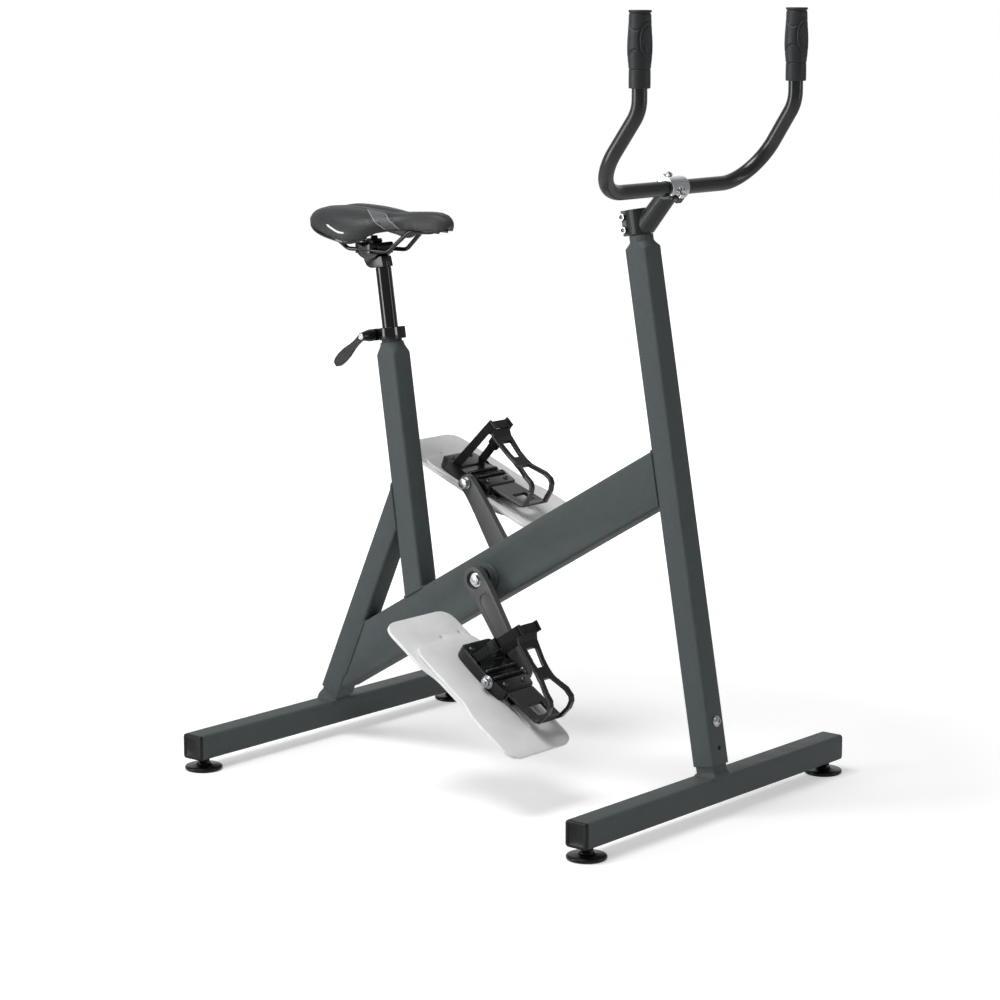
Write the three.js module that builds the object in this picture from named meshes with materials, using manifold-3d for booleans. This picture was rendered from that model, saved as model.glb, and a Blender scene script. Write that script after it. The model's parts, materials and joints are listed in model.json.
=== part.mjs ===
// An aqua bike: an exercise bike that stands on a pool floor and is pedalled against
// flat plastic paddles. Millimetres; +X is forward, +Y the rider's left, +Z up.
// The origin is on the floor, midway between the two feet.
import * as THREE from "three";
import { mergeVertices } from "three/addons/utils/BufferGeometryUtils.js";
import Module from "manifold-3d";

const wasm = await Module();
wasm.setup();
const degrees = THREE.MathUtils.degToRad;

// Fits: the gap between two pieces that touch, and how far a cutter runs past its work.
const gap = 0.3;
const overrun = 6;
const cutterSize = 400;

// Frame tubes, all of the same square section except the deeper main beam.
const tubeSide = 40;
const tubeWall = 3;
const tubeCorner = 4.5;
const beamDepth = 80;
const weldLeg = 3.5;

// Feet.
const footSpan = 771.6;
const footLength = 657.8;
const footClearance = 20;
const capThickness = 4;
const capPlug = 10;
const stubLength = 118;

// Levelling feet.
const padInset = 25;
const padDiameter = 60;
const padHeight = 11.5;
const padHubDiameter = 24;
const studDiameter = 10;
const studLength = 44;
const studSeat = 6;
const lockNut = 17;
const lockNutHeight = 7;
const studBoss = 18;
const studBossHeight = 8;

// Front post: where its axis leaves the foot, its lean and its lengths along the axis.
const postOffset = 2;
const postLean = degrees(-10);
const postLift = 16.2;
const postSquare = 799;
const postNeck = 8;
const neckDiameter = 36;
const neckLength = 9.5;
const steererDiameter = 28.6;
const steererWall = 2.5;
const steererLength = 36.5;
const postBoltHeight = 82;
const postHoleHeight = 41.5;
const postHoleDiameter = 7;

// Rear brace.
const braceOffset = 2.6;
const braceLean = degrees(23.9);
const braceLift = 17.5;

// Main beam through the crank axis, and the seat tube that stands on it.
const crankAxisX = -36.18;
const crankAxisZ = 311.46;
const beamLean = degrees(59.6);
const beamHeel = 18;
const seatTubeSetback = 173;
const seatTubeLean = degrees(-8.36);
const seatTubeSquare = 429;
const seatTubeNeck = 17;
const seatNeckDiameter = 38;
const seatSleeveDiameter = 33;
const seatSleeveLength = 22;
const seatSlit = 2.5;
const seatSlitLength = 26;

// Bottom bracket.
const shellDiameter = 41;
const shellBore = 35;
const shellLength = 68;
const cupFlange = 40;
const cupFlangeThickness = 3;
const cupDepth = 14;
const cupBore = 18;
const spindleDiameter = 17;
const spindleLength = 92;
const spindleSquare = 13;

// Cranks, measured outwards from the middle plane.
const crankLength = 170;
const crankAngle = degrees(48.5);
const crankHub = 41;
const crankInner = 38.5;
const crankArmInner = 42;
const crankThickness = 10.5;
const crankFlare = 20;
const crankStraightShare = 0.13;
const crankFlareShare = 0.87;
const crankWidth = 40;
const crankTipWidth = 25;
const crankEye = 27;
const crankPanelDepth = 1.5;
const crankPanelWidth = 17;
const crankRecess = 28;
const crankRecessDepth = 6;
const crankBolt = 17;
const crankBoltFlange = 24;
const crankBoltFlangeThickness = 1.4;
const crankBoltShank = 8;

// Pedal axles.
const axleDiameter = 13;
const axleInner = 53;
const axleOuter = 165;
const axleTip = 8;
const axleHead = 16;
const axleHeadHeight = 7;
const axleWasher = 21;
const axleWasherThickness = 1.6;
const axleNut = 15;
const axleNutHeight = 6.5;
const axleSpacer = 3;
const axleEndWasher = 21;

// Pedal bodies, toe cages and straps. u runs forward and n up in the pedal's own frame,
// which lies a little ahead of the axle and above it.
const pedalSetback = 2.6;
const pedalLift = 5.4;
const pedalMiddle = 115;
const pedalWidth = 76;
const pedalRear = 78;
const pedalFront = 32;
const pedalTop = 4;
const pedalTread = 2.2;
const pedalBottom = 17;
const pedalTilt = { right: degrees(34.5), left: degrees(22) };
const treadRidge = 5;
const treadRidgeHeight = 2.6;
const screwSpacing = 44;
const screwRear = 64;
const screwFront = 17;
const screwShank = 5;
const screwHead = 9;
const screwHeadHeight = 2.5;
const screwNut = 8;
const screwNutHeight = 4;
const cageLength = 76;
const cageHeight = 100;
const cageBand = 5.5;
const cageWidth = 60;
const cageLip = 10;
const cageEar = 5;
const cageEarLength = 17;
const cageEarHeight = 17;
const cageRim = 3;
const strapWidth = 15;
const strapThickness = 2;
const strapLean = degrees(21.6);
const strapHeight = 108;
const strapFoot = 66;
const strapHead = 52;
const strapSeat = 50;
const strapDepth = 10;
const buckleLength = 20;
const buckleWidth = 21;
const buckleThickness = 6;
const buckleHeight = 56;

// Paddles.
const paddleLength = 248;
const paddleThickness = 5.5;
const paddleInner = 75;
const paddleOuter = 225;
const paddleNarrow = 10;
const paddleWideLength = 94;
const paddleTaper = 31;
const paddleCorner = 28;
const paddleSlot = 6;
const paddleSlotStart = 47;
const paddleSlotLength = 158;
const paddleUpperReach = 137;
const paddleLowerReach = 171;

// Seatpost, its collar and the clamping lever.
const seatpostDiameter = 25.4;
const seatpostLength = 324;
const seatpostTop = 575;
const seatpostNeck = 22;
const seatpostNeckLength = 9;
const collarDiameter = 41;
const collarHeight = 19;
const collarRise = 4.5;
const collarEarReach = 38;
const collarEarWidth = 20;
const collarPad = 20;
const collarPadReach = 23;
const collarSlit = 3;
const leverSetback = 29;
const leverScrew = 6;
const leverHubDiameter = 20;
const leverHubTip = 12;
const leverHubLength = 30;
const leverReach = 81;
const leverWidth = 19;
const leverThickness = 7;
const leverDroop = degrees(140.6);

// The seatpost's head: a block behind and over the post, hollowed for the cradle.
const headWidth = 24;
const headReach = 30;
const headFront = 10.5;
const headHeight = 18.7;
const headDrop = 24;

// Saddle clamp and saddle, in the saddle's own frame on the tilt axis. The cradle rocks
// in the head about that axis, round a bolt with a barrel-shaped seat on top.
const tiltAxisX = -287;
const tiltAxisZ = 826;
const cradleRadius = 30;
const cradleFloor = 20;
const cradleWidth = 34;
const jawLength = 50;
const jawWidth = 54;
const jawCorner = 15;
const jawHeight = 11;
const railDiameter = 7;
const railSpacing = 44;
const railHeight = -14;
const boltSlot = 15;
const boltBarrel = 16;
const boltBarrelWidth = 22;
const boltWasher = 25;
const boltWasherThickness = 2.4;
const clampBoltDiameter = 6;
const clampBoltHead = 10;
const clampBoltHeadHeight = 5;
const clampBoltReach = 38;
const saddleLength = 262;
const saddleWidth = 160;
const saddleDepth = 55;
const saddleRear = -97.5;
const saddleFloor = 0;
const baseThickness = 4.5;

// Stem and handlebar.
const stemLift = 3.3;
const stemClampDiameter = 38;
const stemClampBottom = -2.8;
const stemClampTop = 35.4;
const stemRise = degrees(50);
const stemReach = 89.6;
const stemArmRoot = 32;
const stemArmTip = 29;
const stemEarReach = 25.5;
const stemEarWidth = 20;
const stemSlit = 3;
const crossBoltSetback = 21.5;
const crossBoltSpacing = 19.6;
const crossBoltHead = 10;
const cupDiameter = 34;
const cupWidth = 42;
const faceBoltOffset = 17;
const faceBoltShank = 5;
const faceBoltHead = 9;
const faceBoltHeadHeight = 6;
const faceBoltLength = 17;
const faceEarWidth = 14;
const faceEarMargin = 1.5;
const faceThickness = 7;
const stemFaceEarDepth = 10;
const barDiameter = 22.2;
const barCorner = 200.4;
const barSpread = 193.7;
const barForward = 83.5;
const barRise = 121;
const barTop = 257;
const barBend = 73;
const barUpperBend = 54;
const gripLength = 108;
const gripDiameter = 35.6;
const gripCap = 3.4;

// Button-head bolts that hold the post and brace on their stubs.
const frameBoltShank = 8;
const frameBoltHead = 14;
const frameBoltHeadHeight = 4.5;
const frameBoltWasher = 17;
const frameBoltWasherThickness = 1.5;
const frameBoltLength = 16;
const frameBoltSocket = 5;

// Finishes.
function finish(color, roughness, metalness) {
  return new THREE.MeshStandardMaterial({ color, roughness, metalness });
}
const powderCoat = finish(0x4b5254, 0.55, 0.2);
const satinBlack = finish(0x1c1e20, 0.45, 0.2);
const glossBlack = finish(0x101113, 0.18, 0.2);
const blackPlastic = finish(0x18191b, 0.6, 0);
const stainless = finish(0xb9bcbe, 0.3, 1);
const polished = finish(0xc9cbcd, 0.2, 1);
const crankAlloy = finish(0x4d4b4a, 0.5, 0.3);
const gripRubber = finish(0x2a2c2e, 0.85, 0);
const vinyl = finish(0x17181a, 0.5, 0);
const webbing = finish(0x1b1c1e, 0.9, 0);
const paddlePlastic = finish(0xe3e5e4, 0.35, 0);

// A closed geometry as a solid, and back again.
function solidOf(geometry) {
  const bare = geometry.clone();
  bare.deleteAttribute("normal");
  bare.deleteAttribute("uv");
  const merged = mergeVertices(bare, 1e-4);
  const corners = merged.index.array;
  const faces = [];
  for (let i = 0; i < corners.length; i += 3) {
    const [a, b, c] = corners.subarray(i, i + 3);
    if (a !== b && b !== c && c !== a) faces.push(a, b, c);
  }
  return new wasm.Manifold(
    new wasm.Mesh({
      numProp: 3,
      vertProperties: merged.attributes.position.array,
      triVerts: new Uint32Array(faces),
    }),
  );
}

function geometryOf(solid) {
  const mesh = solid.getMesh();
  const geometry = new THREE.BufferGeometry();
  geometry.setAttribute("position", new THREE.BufferAttribute(mesh.vertProperties, 3));
  geometry.setIndex(new THREE.BufferAttribute(mesh.triVerts, 1));
  return geometry;
}

function unite(...pieces) {
  return geometryOf(pieces.map(solidOf).reduce((sum, next) => sum.add(next)));
}

function cut(body, ...tools) {
  return geometryOf(tools.map(solidOf).reduce((rest, tool) => rest.subtract(tool), solidOf(body)));
}

function common(first, ...others) {
  return geometryOf(others.map(solidOf).reduce((rest, next) => rest.intersect(next), solidOf(first)));
}

// Facets to a quarter turn, where a tube turns from square to round.
const roundSteps = 5;

// Outlines.
function roundedRectangle(width, height, corner) {
  const x = width / 2 - corner;
  const y = height / 2 - corner;
  const shape = new THREE.Shape();
  shape.absarc(x, y, corner, 0, Math.PI / 2);
  shape.absarc(-x, y, corner, Math.PI / 2, Math.PI);
  shape.absarc(-x, -y, corner, Math.PI, Math.PI * 1.5);
  shape.absarc(x, -y, corner, Math.PI * 1.5, Math.PI * 2);
  return shape;
}

function outline(points) {
  return new THREE.Shape(points.map(([x, y]) => new THREE.Vector2(x, y)));
}

function scaled(shares, width, height = width) {
  return shares.map(([x, y]) => [x * width, y * height]);
}

// Prisms: upright along Z, or with the outline in the X-Z plane and its length along Y.
function prism(shape, from, to, curveSegments = 3) {
  const geometry = new THREE.ExtrudeGeometry(shape, {
    depth: to - from,
    bevelEnabled: false,
    curveSegments,
  });
  return geometry.translate(0, 0, from);
}

function sideways(shape, from, to, curveSegments = 3) {
  return prism(shape, 0, to - from, curveSegments)
    .rotateX(Math.PI / 2)
    .translate(0, to, 0);
}

function block(width, depth, height) {
  return new THREE.BoxGeometry(width, depth, height);
}

function cylinder(diameter, from, to, sides = 20) {
  return new THREE.CylinderGeometry(diameter / 2, diameter / 2, to - from, sides)
    .rotateX(Math.PI / 2)
    .translate(0, 0, (from + to) / 2);
}

function crossCylinder(diameter, from, to, sides = 20) {
  return new THREE.CylinderGeometry(diameter / 2, diameter / 2, to - from, sides)
    .translate(0, (from + to) / 2, 0);
}

function hexagon(acrossFlats, from, to) {
  return cylinder((acrossFlats * 2) / Math.sqrt(3), from, to, 6);
}

// A turned piece: its profile holds [radius, height] points, revolved round Z.
function turned(profile, sides = 20) {
  const points = profile.map(([r, z]) => new THREE.Vector2(r, z));
  return new THREE.LatheGeometry(points, sides).rotateX(Math.PI / 2);
}

// Turns a piece made along Z so that it runs along +Y or -Y.
function towardsY(geometry, side = 1) {
  return geometry.rotateX((-side * Math.PI) / 2);
}

// A loft through closed rings of equal point counts, with both ends closed.
function loft(rings) {
  const count = rings[0].length;
  const middles = [rings[0], rings[rings.length - 1]].map((ring) => {
    const middle = new THREE.Vector3();
    ring.forEach((point) => middle.add(point));
    return middle.divideScalar(count);
  });
  const corners = [...rings.flat(), ...middles];
  const first = rings.length * count;
  const index = [];
  for (let r = 0; r + 1 < rings.length; r++) {
    for (let i = 0; i < count; i++) {
      const a = r * count + i;
      const b = r * count + ((i + 1) % count);
      index.push(a, b, b + count, a, b + count, a + count);
    }
  }
  const last = first - count;
  for (let i = 0; i < count; i++) {
    const next = (i + 1) % count;
    index.push(first, next, i);
    index.push(first + 1, last + i, last + next);
  }
  const positions = corners.flatMap((point) => [point.x, point.y, point.z]);
  const geometry = new THREE.BufferGeometry();
  geometry.setAttribute("position", new THREE.Float32BufferAttribute(positions, 3));
  geometry.setIndex(index);
  return geometry;
}

// A rounded rectangle as a ring of points, at one level.
function ring(width, depth, corner, level, steps = 3) {
  const points = [];
  const x = width / 2 - corner;
  const y = depth / 2 - corner;
  [[x, y], [-x, y], [-x, -y], [x, -y]].forEach(([cx, cy], quarter) => {
    for (let k = 0; k <= steps; k++) {
      const angle = ((quarter + k / steps) * Math.PI) / 2;
      points.push(
        new THREE.Vector3(cx + corner * Math.cos(angle), cy + corner * Math.sin(angle), level),
      );
    }
  });
  return points;
}

function round(diameter, level, steps = 3) {
  return ring(diameter, diameter, diameter / 2, level, steps);
}

// A path that runs straight between corners and bends round each with its own radius.
// Its stations lie only where it bends, so straight stretches stay plain.
class BentPath extends THREE.Curve {
  constructor(corners, radii, steps = 5) {
    super();
    this.stations = [];
    const heading = (i) => corners[i + 1].clone().sub(corners[i]).normalize();
    this.stations.push([corners[0], heading(0)]);
    for (let i = 1; i + 1 < corners.length; i++) {
      const a = heading(i - 1);
      const b = heading(i);
      const turn = a.angleTo(b);
      const inward = b.clone().addScaledVector(a, -Math.cos(turn)).normalize();
      const radius = radii[i - 1];
      const start = corners[i].clone().addScaledVector(a, -radius * Math.tan(turn / 2));
      for (let k = 0; k <= steps; k++) {
        const angle = (turn * k) / steps;
        const point = start
          .clone()
          .addScaledVector(a, radius * Math.sin(angle))
          .addScaledVector(inward, radius * (1 - Math.cos(angle)));
        const along = a
          .clone()
          .multiplyScalar(Math.cos(angle))
          .addScaledVector(inward, Math.sin(angle));
        this.stations.push([point, along]);
      }
    }
    this.stations.push([corners[corners.length - 1], heading(corners.length - 2)]);
  }
  at(t, part) {
    return this.stations[Math.round(t * (this.stations.length - 1))][part].clone();
  }
  getPoint(t) {
    return this.at(t, 0);
  }
  getPointAt(t) {
    return this.at(t, 0);
  }
  getTangent(t) {
    return this.at(t, 1);
  }
  getTangentAt(t) {
    return this.at(t, 1);
  }
}

function bentRod(path, diameter, sides = 14) {
  const section = [];
  for (let i = 0; i < sides; i++) {
    const angle = (i * 2 * Math.PI) / sides;
    section.push([(Math.cos(angle) * diameter) / 2, (Math.sin(angle) * diameter) / 2]);
  }
  return new THREE.ExtrudeGeometry(outline(section), {
    steps: path.stations.length - 1,
    extrudePath: path,
    bevelEnabled: false,
  });
}

// Lines in the bike's middle plane. Each has a start and a lean forward from upright;
// a distance runs along it, and an offset lies square to it, positive towards the front.
function line(x, z, lean) {
  return { x, z, lean };
}

function pointOn(axis, distance, offset = 0) {
  return [
    axis.x + distance * Math.sin(axis.lean) + offset * Math.cos(axis.lean),
    axis.z + distance * Math.cos(axis.lean) - offset * Math.sin(axis.lean),
  ];
}

// How far along one line it meets another, both shifted by their offsets.
function meeting(axis, offset, other, otherOffset) {
  const [ax, az] = pointOn(axis, 0, offset);
  const [bx, bz] = pointOn(other, 0, otherOffset);
  const across = Math.sin(other.lean) * (bz - az) - Math.cos(other.lean) * (bx - ax);
  return across / Math.sin(other.lean - axis.lean);
}

// A point of the middle plane in the frame of a line: its offset, zero, its distance.
function seenFrom(axis, x, z) {
  const dx = x - axis.x;
  const dz = z - axis.z;
  return [
    dx * Math.cos(axis.lean) - dz * Math.sin(axis.lean),
    0,
    dx * Math.sin(axis.lean) + dz * Math.cos(axis.lean),
  ];
}

// Cuts from a piece that lies along one line all that is past a face of another.
function trim(geometry, axis, other, offset, side) {
  const at = meeting(other, offset, axis, 0);
  const [x, z] = pointOn(other, at, offset + (side * cutterSize) / 2);
  const tool = block(cutterSize, cutterSize, cutterSize).rotateY(other.lean - axis.lean);
  return cut(geometry, tool.translate(...seenFrom(axis, x, z)));
}

const footTop = footClearance + tubeSide;
const postAxis = line(footSpan / 2 + postOffset, footTop, postLean);
const braceAxis = line(-footSpan / 2 + braceOffset, footTop, braceLean);
const beamAxis = line(crankAxisX, crankAxisZ, beamLean);
const seatAxis = line(...pointOn(beamAxis, -seatTubeSetback), seatTubeLean);
const neckTop = postSquare + postNeck + neckLength;
const steererTop = neckTop + steererLength;
const stemAxis = line(...pointOn(postAxis, neckTop + stemLift), Math.PI / 2 - stemRise);
const seatNeckTop = seatTubeSquare + seatTubeNeck;
const seatSleeveTop = seatNeckTop + seatSleeveLength;
const crankOuter = crankArmInner + crankThickness;
const eyeInner = crankArmInner + crankFlare;
const eyeOuter = crankOuter + crankFlare;
const tubeBore = tubeSide - 2 * tubeWall;
const boreCorner = tubeCorner - tubeWall;
const stubSide = tubeBore - 2 * gap;

function squareTube(width, from, to) {
  const shell = roundedRectangle(width, tubeSide, tubeCorner);
  shell.holes.push(roundedRectangle(width - 2 * tubeWall, tubeBore, boreCorner));
  return prism(shell, from, to);
}

// A foot: a tube across the bike with a leaning stub that the post or brace slides over.
function foot(offset, lean, boltSide, boltHeights) {
  const half = footLength / 2 - capThickness - gap;
  const outer = sideways(roundedRectangle(tubeSide, tubeSide, tubeCorner), -half, half);
  const bore = sideways(
    roundedRectangle(tubeBore, tubeBore, boreCorner),
    -half - overrun,
    half + overrun,
  );
  const root = -Math.abs(Math.tan(lean)) * stubSide;
  const stubOutline = roundedRectangle(stubSide, stubSide, boreCorner);
  stubOutline.holes.push(
    roundedRectangle(stubSide - 2 * tubeWall, stubSide - 2 * tubeWall, boreCorner),
  );
  const bead = loft([
    ring(stubSide + 2 * weldLeg, stubSide + 2 * weldLeg, weldLeg, root),
    ring(stubSide + 2 * weldLeg, stubSide + 2 * weldLeg, weldLeg, 0),
    ring(stubSide, stubSide, boreCorner, weldLeg + stubSide * Math.abs(Math.tan(lean / 2))),
  ]);
  const stub = unite(prism(stubOutline, root, stubLength), bead);
  const holes = boltHeights.map((height) =>
    cylinder(frameBoltShank + 2 * gap, 0, stubSide, 12)
      .rotateY((boltSide * Math.PI) / 2)
      .translate(0, 0, height),
  );
  const raised = cut(stub, ...holes).rotateY(lean).translate(offset, 0, tubeSide / 2);
  const bosses = [-1, 1].map((side) =>
    cylinder(studBoss, -tubeSide / 2 + tubeWall / 2, -tubeBore / 2 + studBossHeight, 12)
      .translate(0, side * (footLength / 2 - padInset), 0),
  );
  const studHoles = [-1, 1].map((side) =>
    cylinder(studDiameter + 2 * gap, -tubeSide, 0, 12)
      .translate(0, side * (footLength / 2 - padInset), 0),
  );
  const shell = cut(unite(outer, raised), bore);
  return cut(unite(shell, ...bosses), ...studHoles);
}

// The moulded plug that closes one end of a foot, its face towards +Y.
function footCap() {
  const face = loft([
    ring(tubeSide, tubeSide, tubeCorner, 0),
    ring(tubeSide, tubeSide, tubeCorner, capThickness / 2),
    ring(tubeSide - capThickness, tubeSide - capThickness, tubeCorner / 2, capThickness),
  ]);
  const fit = tubeBore - 2 * gap;
  const plug = prism(roundedRectangle(fit, fit, boreCorner), -capPlug, capThickness / 2, 2);
  return towardsY(unite(face, plug));
}

function levellingPad() {
  const rim = padDiameter / 2;
  const hub = padHubDiameter / 2;
  const socket = studDiameter / 2 + gap;
  return turned([
    [0, 0],
    [rim - padHeight / 8, 0],
    [rim, padHeight / 6],
    [rim - padHeight / 8, padHeight / 2],
    [hub, padHeight * 0.7],
    [hub - padHeight / 10, padHeight],
    [socket, padHeight],
    [socket, padHeight - studSeat],
    [0, padHeight - studSeat],
  ], 18);
}

// The stud screws into the foot's boss; its nut lies between the pad and the tube.
function levellingStud() {
  const bottom = padHeight - studSeat + gap;
  const nutTop = footClearance - gap;
  return unite(
    cylinder(studDiameter, bottom, bottom + studLength, 12),
    hexagon(lockNut, nutTop - lockNutHeight, nutTop),
  );
}

function frameBolt() {
  const washerRadius = frameBoltWasher / 2;
  const body = turned([
    [0, -frameBoltLength],
    [frameBoltShank / 2, -frameBoltLength],
    [frameBoltShank / 2, 0],
    [washerRadius, 0],
    [washerRadius, frameBoltWasherThickness],
    [frameBoltHead / 2, frameBoltWasherThickness],
    [frameBoltHead / 2.3, frameBoltWasherThickness + frameBoltHeadHeight / 2],
    [frameBoltHead / 3.4, frameBoltWasherThickness + frameBoltHeadHeight],
    [0, frameBoltWasherThickness + frameBoltHeadHeight],
  ]);
  const top = frameBoltWasherThickness + frameBoltHeadHeight;
  return cut(body, hexagon(frameBoltSocket, top - frameBoltHeadHeight / 2, top + overrun));
}

// The half-way ring where a square tube is pressed round at its top.
const shoulderShares = { side: 0.97, corner: 0.24, level: 0.5 };

function shoulder(start, length) {
  const side = tubeSide * shoulderShares.side;
  const level = start + length * shoulderShares.level;
  return ring(side, side, tubeSide * shoulderShares.corner, level, roundSteps);
}

function frontPost() {
  const neckStart = postSquare + postNeck;
  const outer = loft([
    ring(tubeSide, tubeSide, tubeCorner, postLift, roundSteps),
    ring(tubeSide, tubeSide, tubeCorner, postSquare, roundSteps),
    shoulder(postSquare, postNeck),
    round(neckDiameter, neckStart, roundSteps),
    round(neckDiameter, neckTop, roundSteps),
    round(steererDiameter, neckTop, roundSteps),
    round(steererDiameter, steererTop, roundSteps),
  ]);
  const steererBore = steererDiameter - 2 * steererWall;
  const inner = loft([
    ring(tubeBore, tubeBore, boreCorner, postLift - overrun),
    ring(tubeBore, tubeBore, boreCorner, postSquare),
    round(steererBore, neckStart),
    round(steererBore, steererTop + overrun),
  ]);
  const boltHole = cylinder(frameBoltShank + 2 * gap, 0, tubeSide, 16)
    .rotateY(Math.PI / 2)
    .translate(0, 0, postBoltHeight);
  const spareHole = cylinder(postHoleDiameter, 0, tubeSide, 16)
    .rotateY(Math.PI / 2)
    .translate(0, 0, postHoleHeight);
  return cut(outer, inner, boltHole, spareHole);
}

function mainBeam() {
  const tube = squareTube(beamDepth, -cutterSize - tubeSide, cutterSize + tubeSide);
  const front = trim(tube, beamAxis, postAxis, -tubeSide / 2 - gap, 1);
  const back = trim(front, beamAxis, braceAxis, tubeSide / 2 + gap, -1);
  const foremost = meeting(beamAxis, beamDepth / 2, braceAxis, tubeSide / 2);
  const heel = block(beamHeel, tubeSide + overrun, beamHeel)
    .rotateY(Math.PI / 2 - beamLean)
    .translate(beamDepth / 2, 0, foremost);
  const shellHole = crossCylinder(shellDiameter + 2 * gap, -tubeSide, tubeSide);
  return cut(back, heel, shellHole);
}

function seatTube() {
  const outer = loft([
    ring(tubeSide, tubeSide, tubeCorner, 0, roundSteps),
    ring(tubeSide, tubeSide, tubeCorner, seatTubeSquare, roundSteps),
    shoulder(seatTubeSquare, seatTubeNeck),
    round(seatNeckDiameter, seatNeckTop, roundSteps),
    round(seatSleeveDiameter, seatNeckTop, roundSteps),
    round(seatSleeveDiameter, seatSleeveTop, roundSteps),
  ]);
  const bore = seatpostDiameter + 2 * gap;
  const inner = loft([
    ring(tubeBore, tubeBore, boreCorner, -overrun, roundSteps),
    ring(tubeBore, tubeBore, boreCorner, seatTubeSquare - tubeSide, roundSteps),
    round(bore, seatTubeSquare, roundSteps),
    round(bore, seatSleeveTop + overrun, roundSteps),
  ]);
  const slit = block(seatSleeveDiameter, seatSlit, seatSlitLength)
    .translate(-seatSleeveDiameter / 2, 0, seatSleeveTop - seatSlitLength / 2 + gap);
  const tube = cut(outer, inner, slit);
  return trim(tube, seatAxis, beamAxis, -beamDepth / 2 - gap, 1);
}

function rearBrace() {
  const top = meeting(braceAxis, 0, seatAxis, -tubeSide / 2);
  const tube = squareTube(tubeSide, braceLift, top + 2 * tubeSide);
  const boltHole = cylinder(frameBoltShank + 2 * gap, 0, tubeSide, 16)
    .rotateY(-Math.PI / 2)
    .translate(0, 0, postBoltHeight);
  return trim(cut(tube, boltHole), braceAxis, seatAxis, -tubeSide / 2 - gap, 1);
}

// The crank bearing's shell, with the weld bead that joins it to the beam on each side.
function bottomBracketShell() {
  const outer = shellDiameter / 2;
  const bore = shellBore / 2;
  const half = shellLength / 2;
  const side = tubeSide / 2 + gap;
  return towardsY(
    turned([
      [bore, -half],
      [outer, -half],
      [outer, -side - weldLeg],
      [outer + weldLeg, -side],
      [outer, -side],
      [outer, side],
      [outer + weldLeg, side],
      [outer, side + weldLeg],
      [outer, half],
      [bore, half],
      [bore, -half],
    ], 20),
  );
}

function bearingCup() {
  const body = shellBore / 2 - gap;
  const face = shellLength / 2 + gap;
  return turned([
    [cupBore / 2, face - cupDepth],
    [body, face - cupDepth],
    [body, face],
    [cupFlange / 2, face],
    [cupFlange / 2, face + cupFlangeThickness * 0.7],
    [cupFlange / 2 - cupFlangeThickness, face + cupFlangeThickness],
    [cupBore / 2, face + cupFlangeThickness],
    [cupBore / 2, face - cupDepth],
  ]);
}

// The spindle, round between the bearings and square at both ends.
function spindle() {
  const half = spindleLength / 2;
  const square = roundedRectangle(spindleSquare, spindleSquare, spindleSquare / 8);
  const body = unite(
    cylinder(spindleDiameter, -crankInner + gap, crankInner - gap),
    prism(square, -half, half),
  );
  const threads = [-1, 1].map((side) => {
    const ends = [side * (half - crankBoltShank * 2), side * (half + overrun)];
    return cylinder(crankBoltShank + 2 * gap, Math.min(...ends), Math.max(...ends), 12);
  });
  return towardsY(cut(body, ...threads));
}

// A crank along +X on the -Y side, flaring outwards from its hub to the pedal eye.
function crank() {
  const flareOf = (share) => {
    const along = (share - crankStraightShare) / (crankFlareShare - crankStraightShare);
    return crankFlare * Math.min(1, Math.max(0, along));
  };
  const section = (share) => {
    const width = crankWidth + (crankTipWidth - crankWidth) * share;
    const out = crankArmInner + crankThickness / 2 + flareOf(share);
    return ring(crankThickness, width, crankThickness / 4, crankLength * share, 2).map(
      (point) => new THREE.Vector3(point.z, point.x - out, point.y),
    );
  };
  const arm = loft([0, crankStraightShare, crankFlareShare, 1].map(section));
  const hub = crossCylinder(crankHub, -crankOuter, -crankInner, 28);
  const eye = crossCylinder(crankEye, -eyeOuter, -eyeInner).translate(crankLength, 0, 0);
  const fit = spindleSquare + 2 * gap;
  const square = sideways(
    roundedRectangle(fit, fit, spindleSquare / 8),
    -crankOuter - overrun,
    -crankInner + overrun,
  );
  const recess = crossCylinder(crankRecess, -eyeOuter, -crankOuter + crankRecessDepth, 28);
  const axleHole = crossCylinder(axleDiameter + 2 * gap, -eyeOuter - overrun, -crankInner, 20)
    .translate(crankLength, 0, 0);
  const flareLength = crankLength * (crankFlareShare - crankStraightShare);
  const panel = block(crankLength - crankHub - crankEye, crankPanelDepth * 2, crankPanelWidth)
    .rotateZ(-Math.atan2(crankFlare, flareLength))
    .translate(crankLength / 2, -crankOuter - flareOf(1 / 2), 0);
  return cut(unite(arm, hub, eye), square, recess, axleHole, panel);
}

function crankBoltPiece() {
  const seat = crankOuter - crankRecessDepth + gap;
  const flangeTop = seat + crankBoltFlangeThickness;
  const shankEnd = spindleLength / 2 - crankBoltShank * 2 + gap;
  return unite(
    hexagon(crankBolt, seat, crankOuter - gap),
    cylinder(crankBoltFlange, seat, flangeTop),
    cylinder(crankBoltShank, shankEnd, flangeTop, 12),
  );
}

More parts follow.
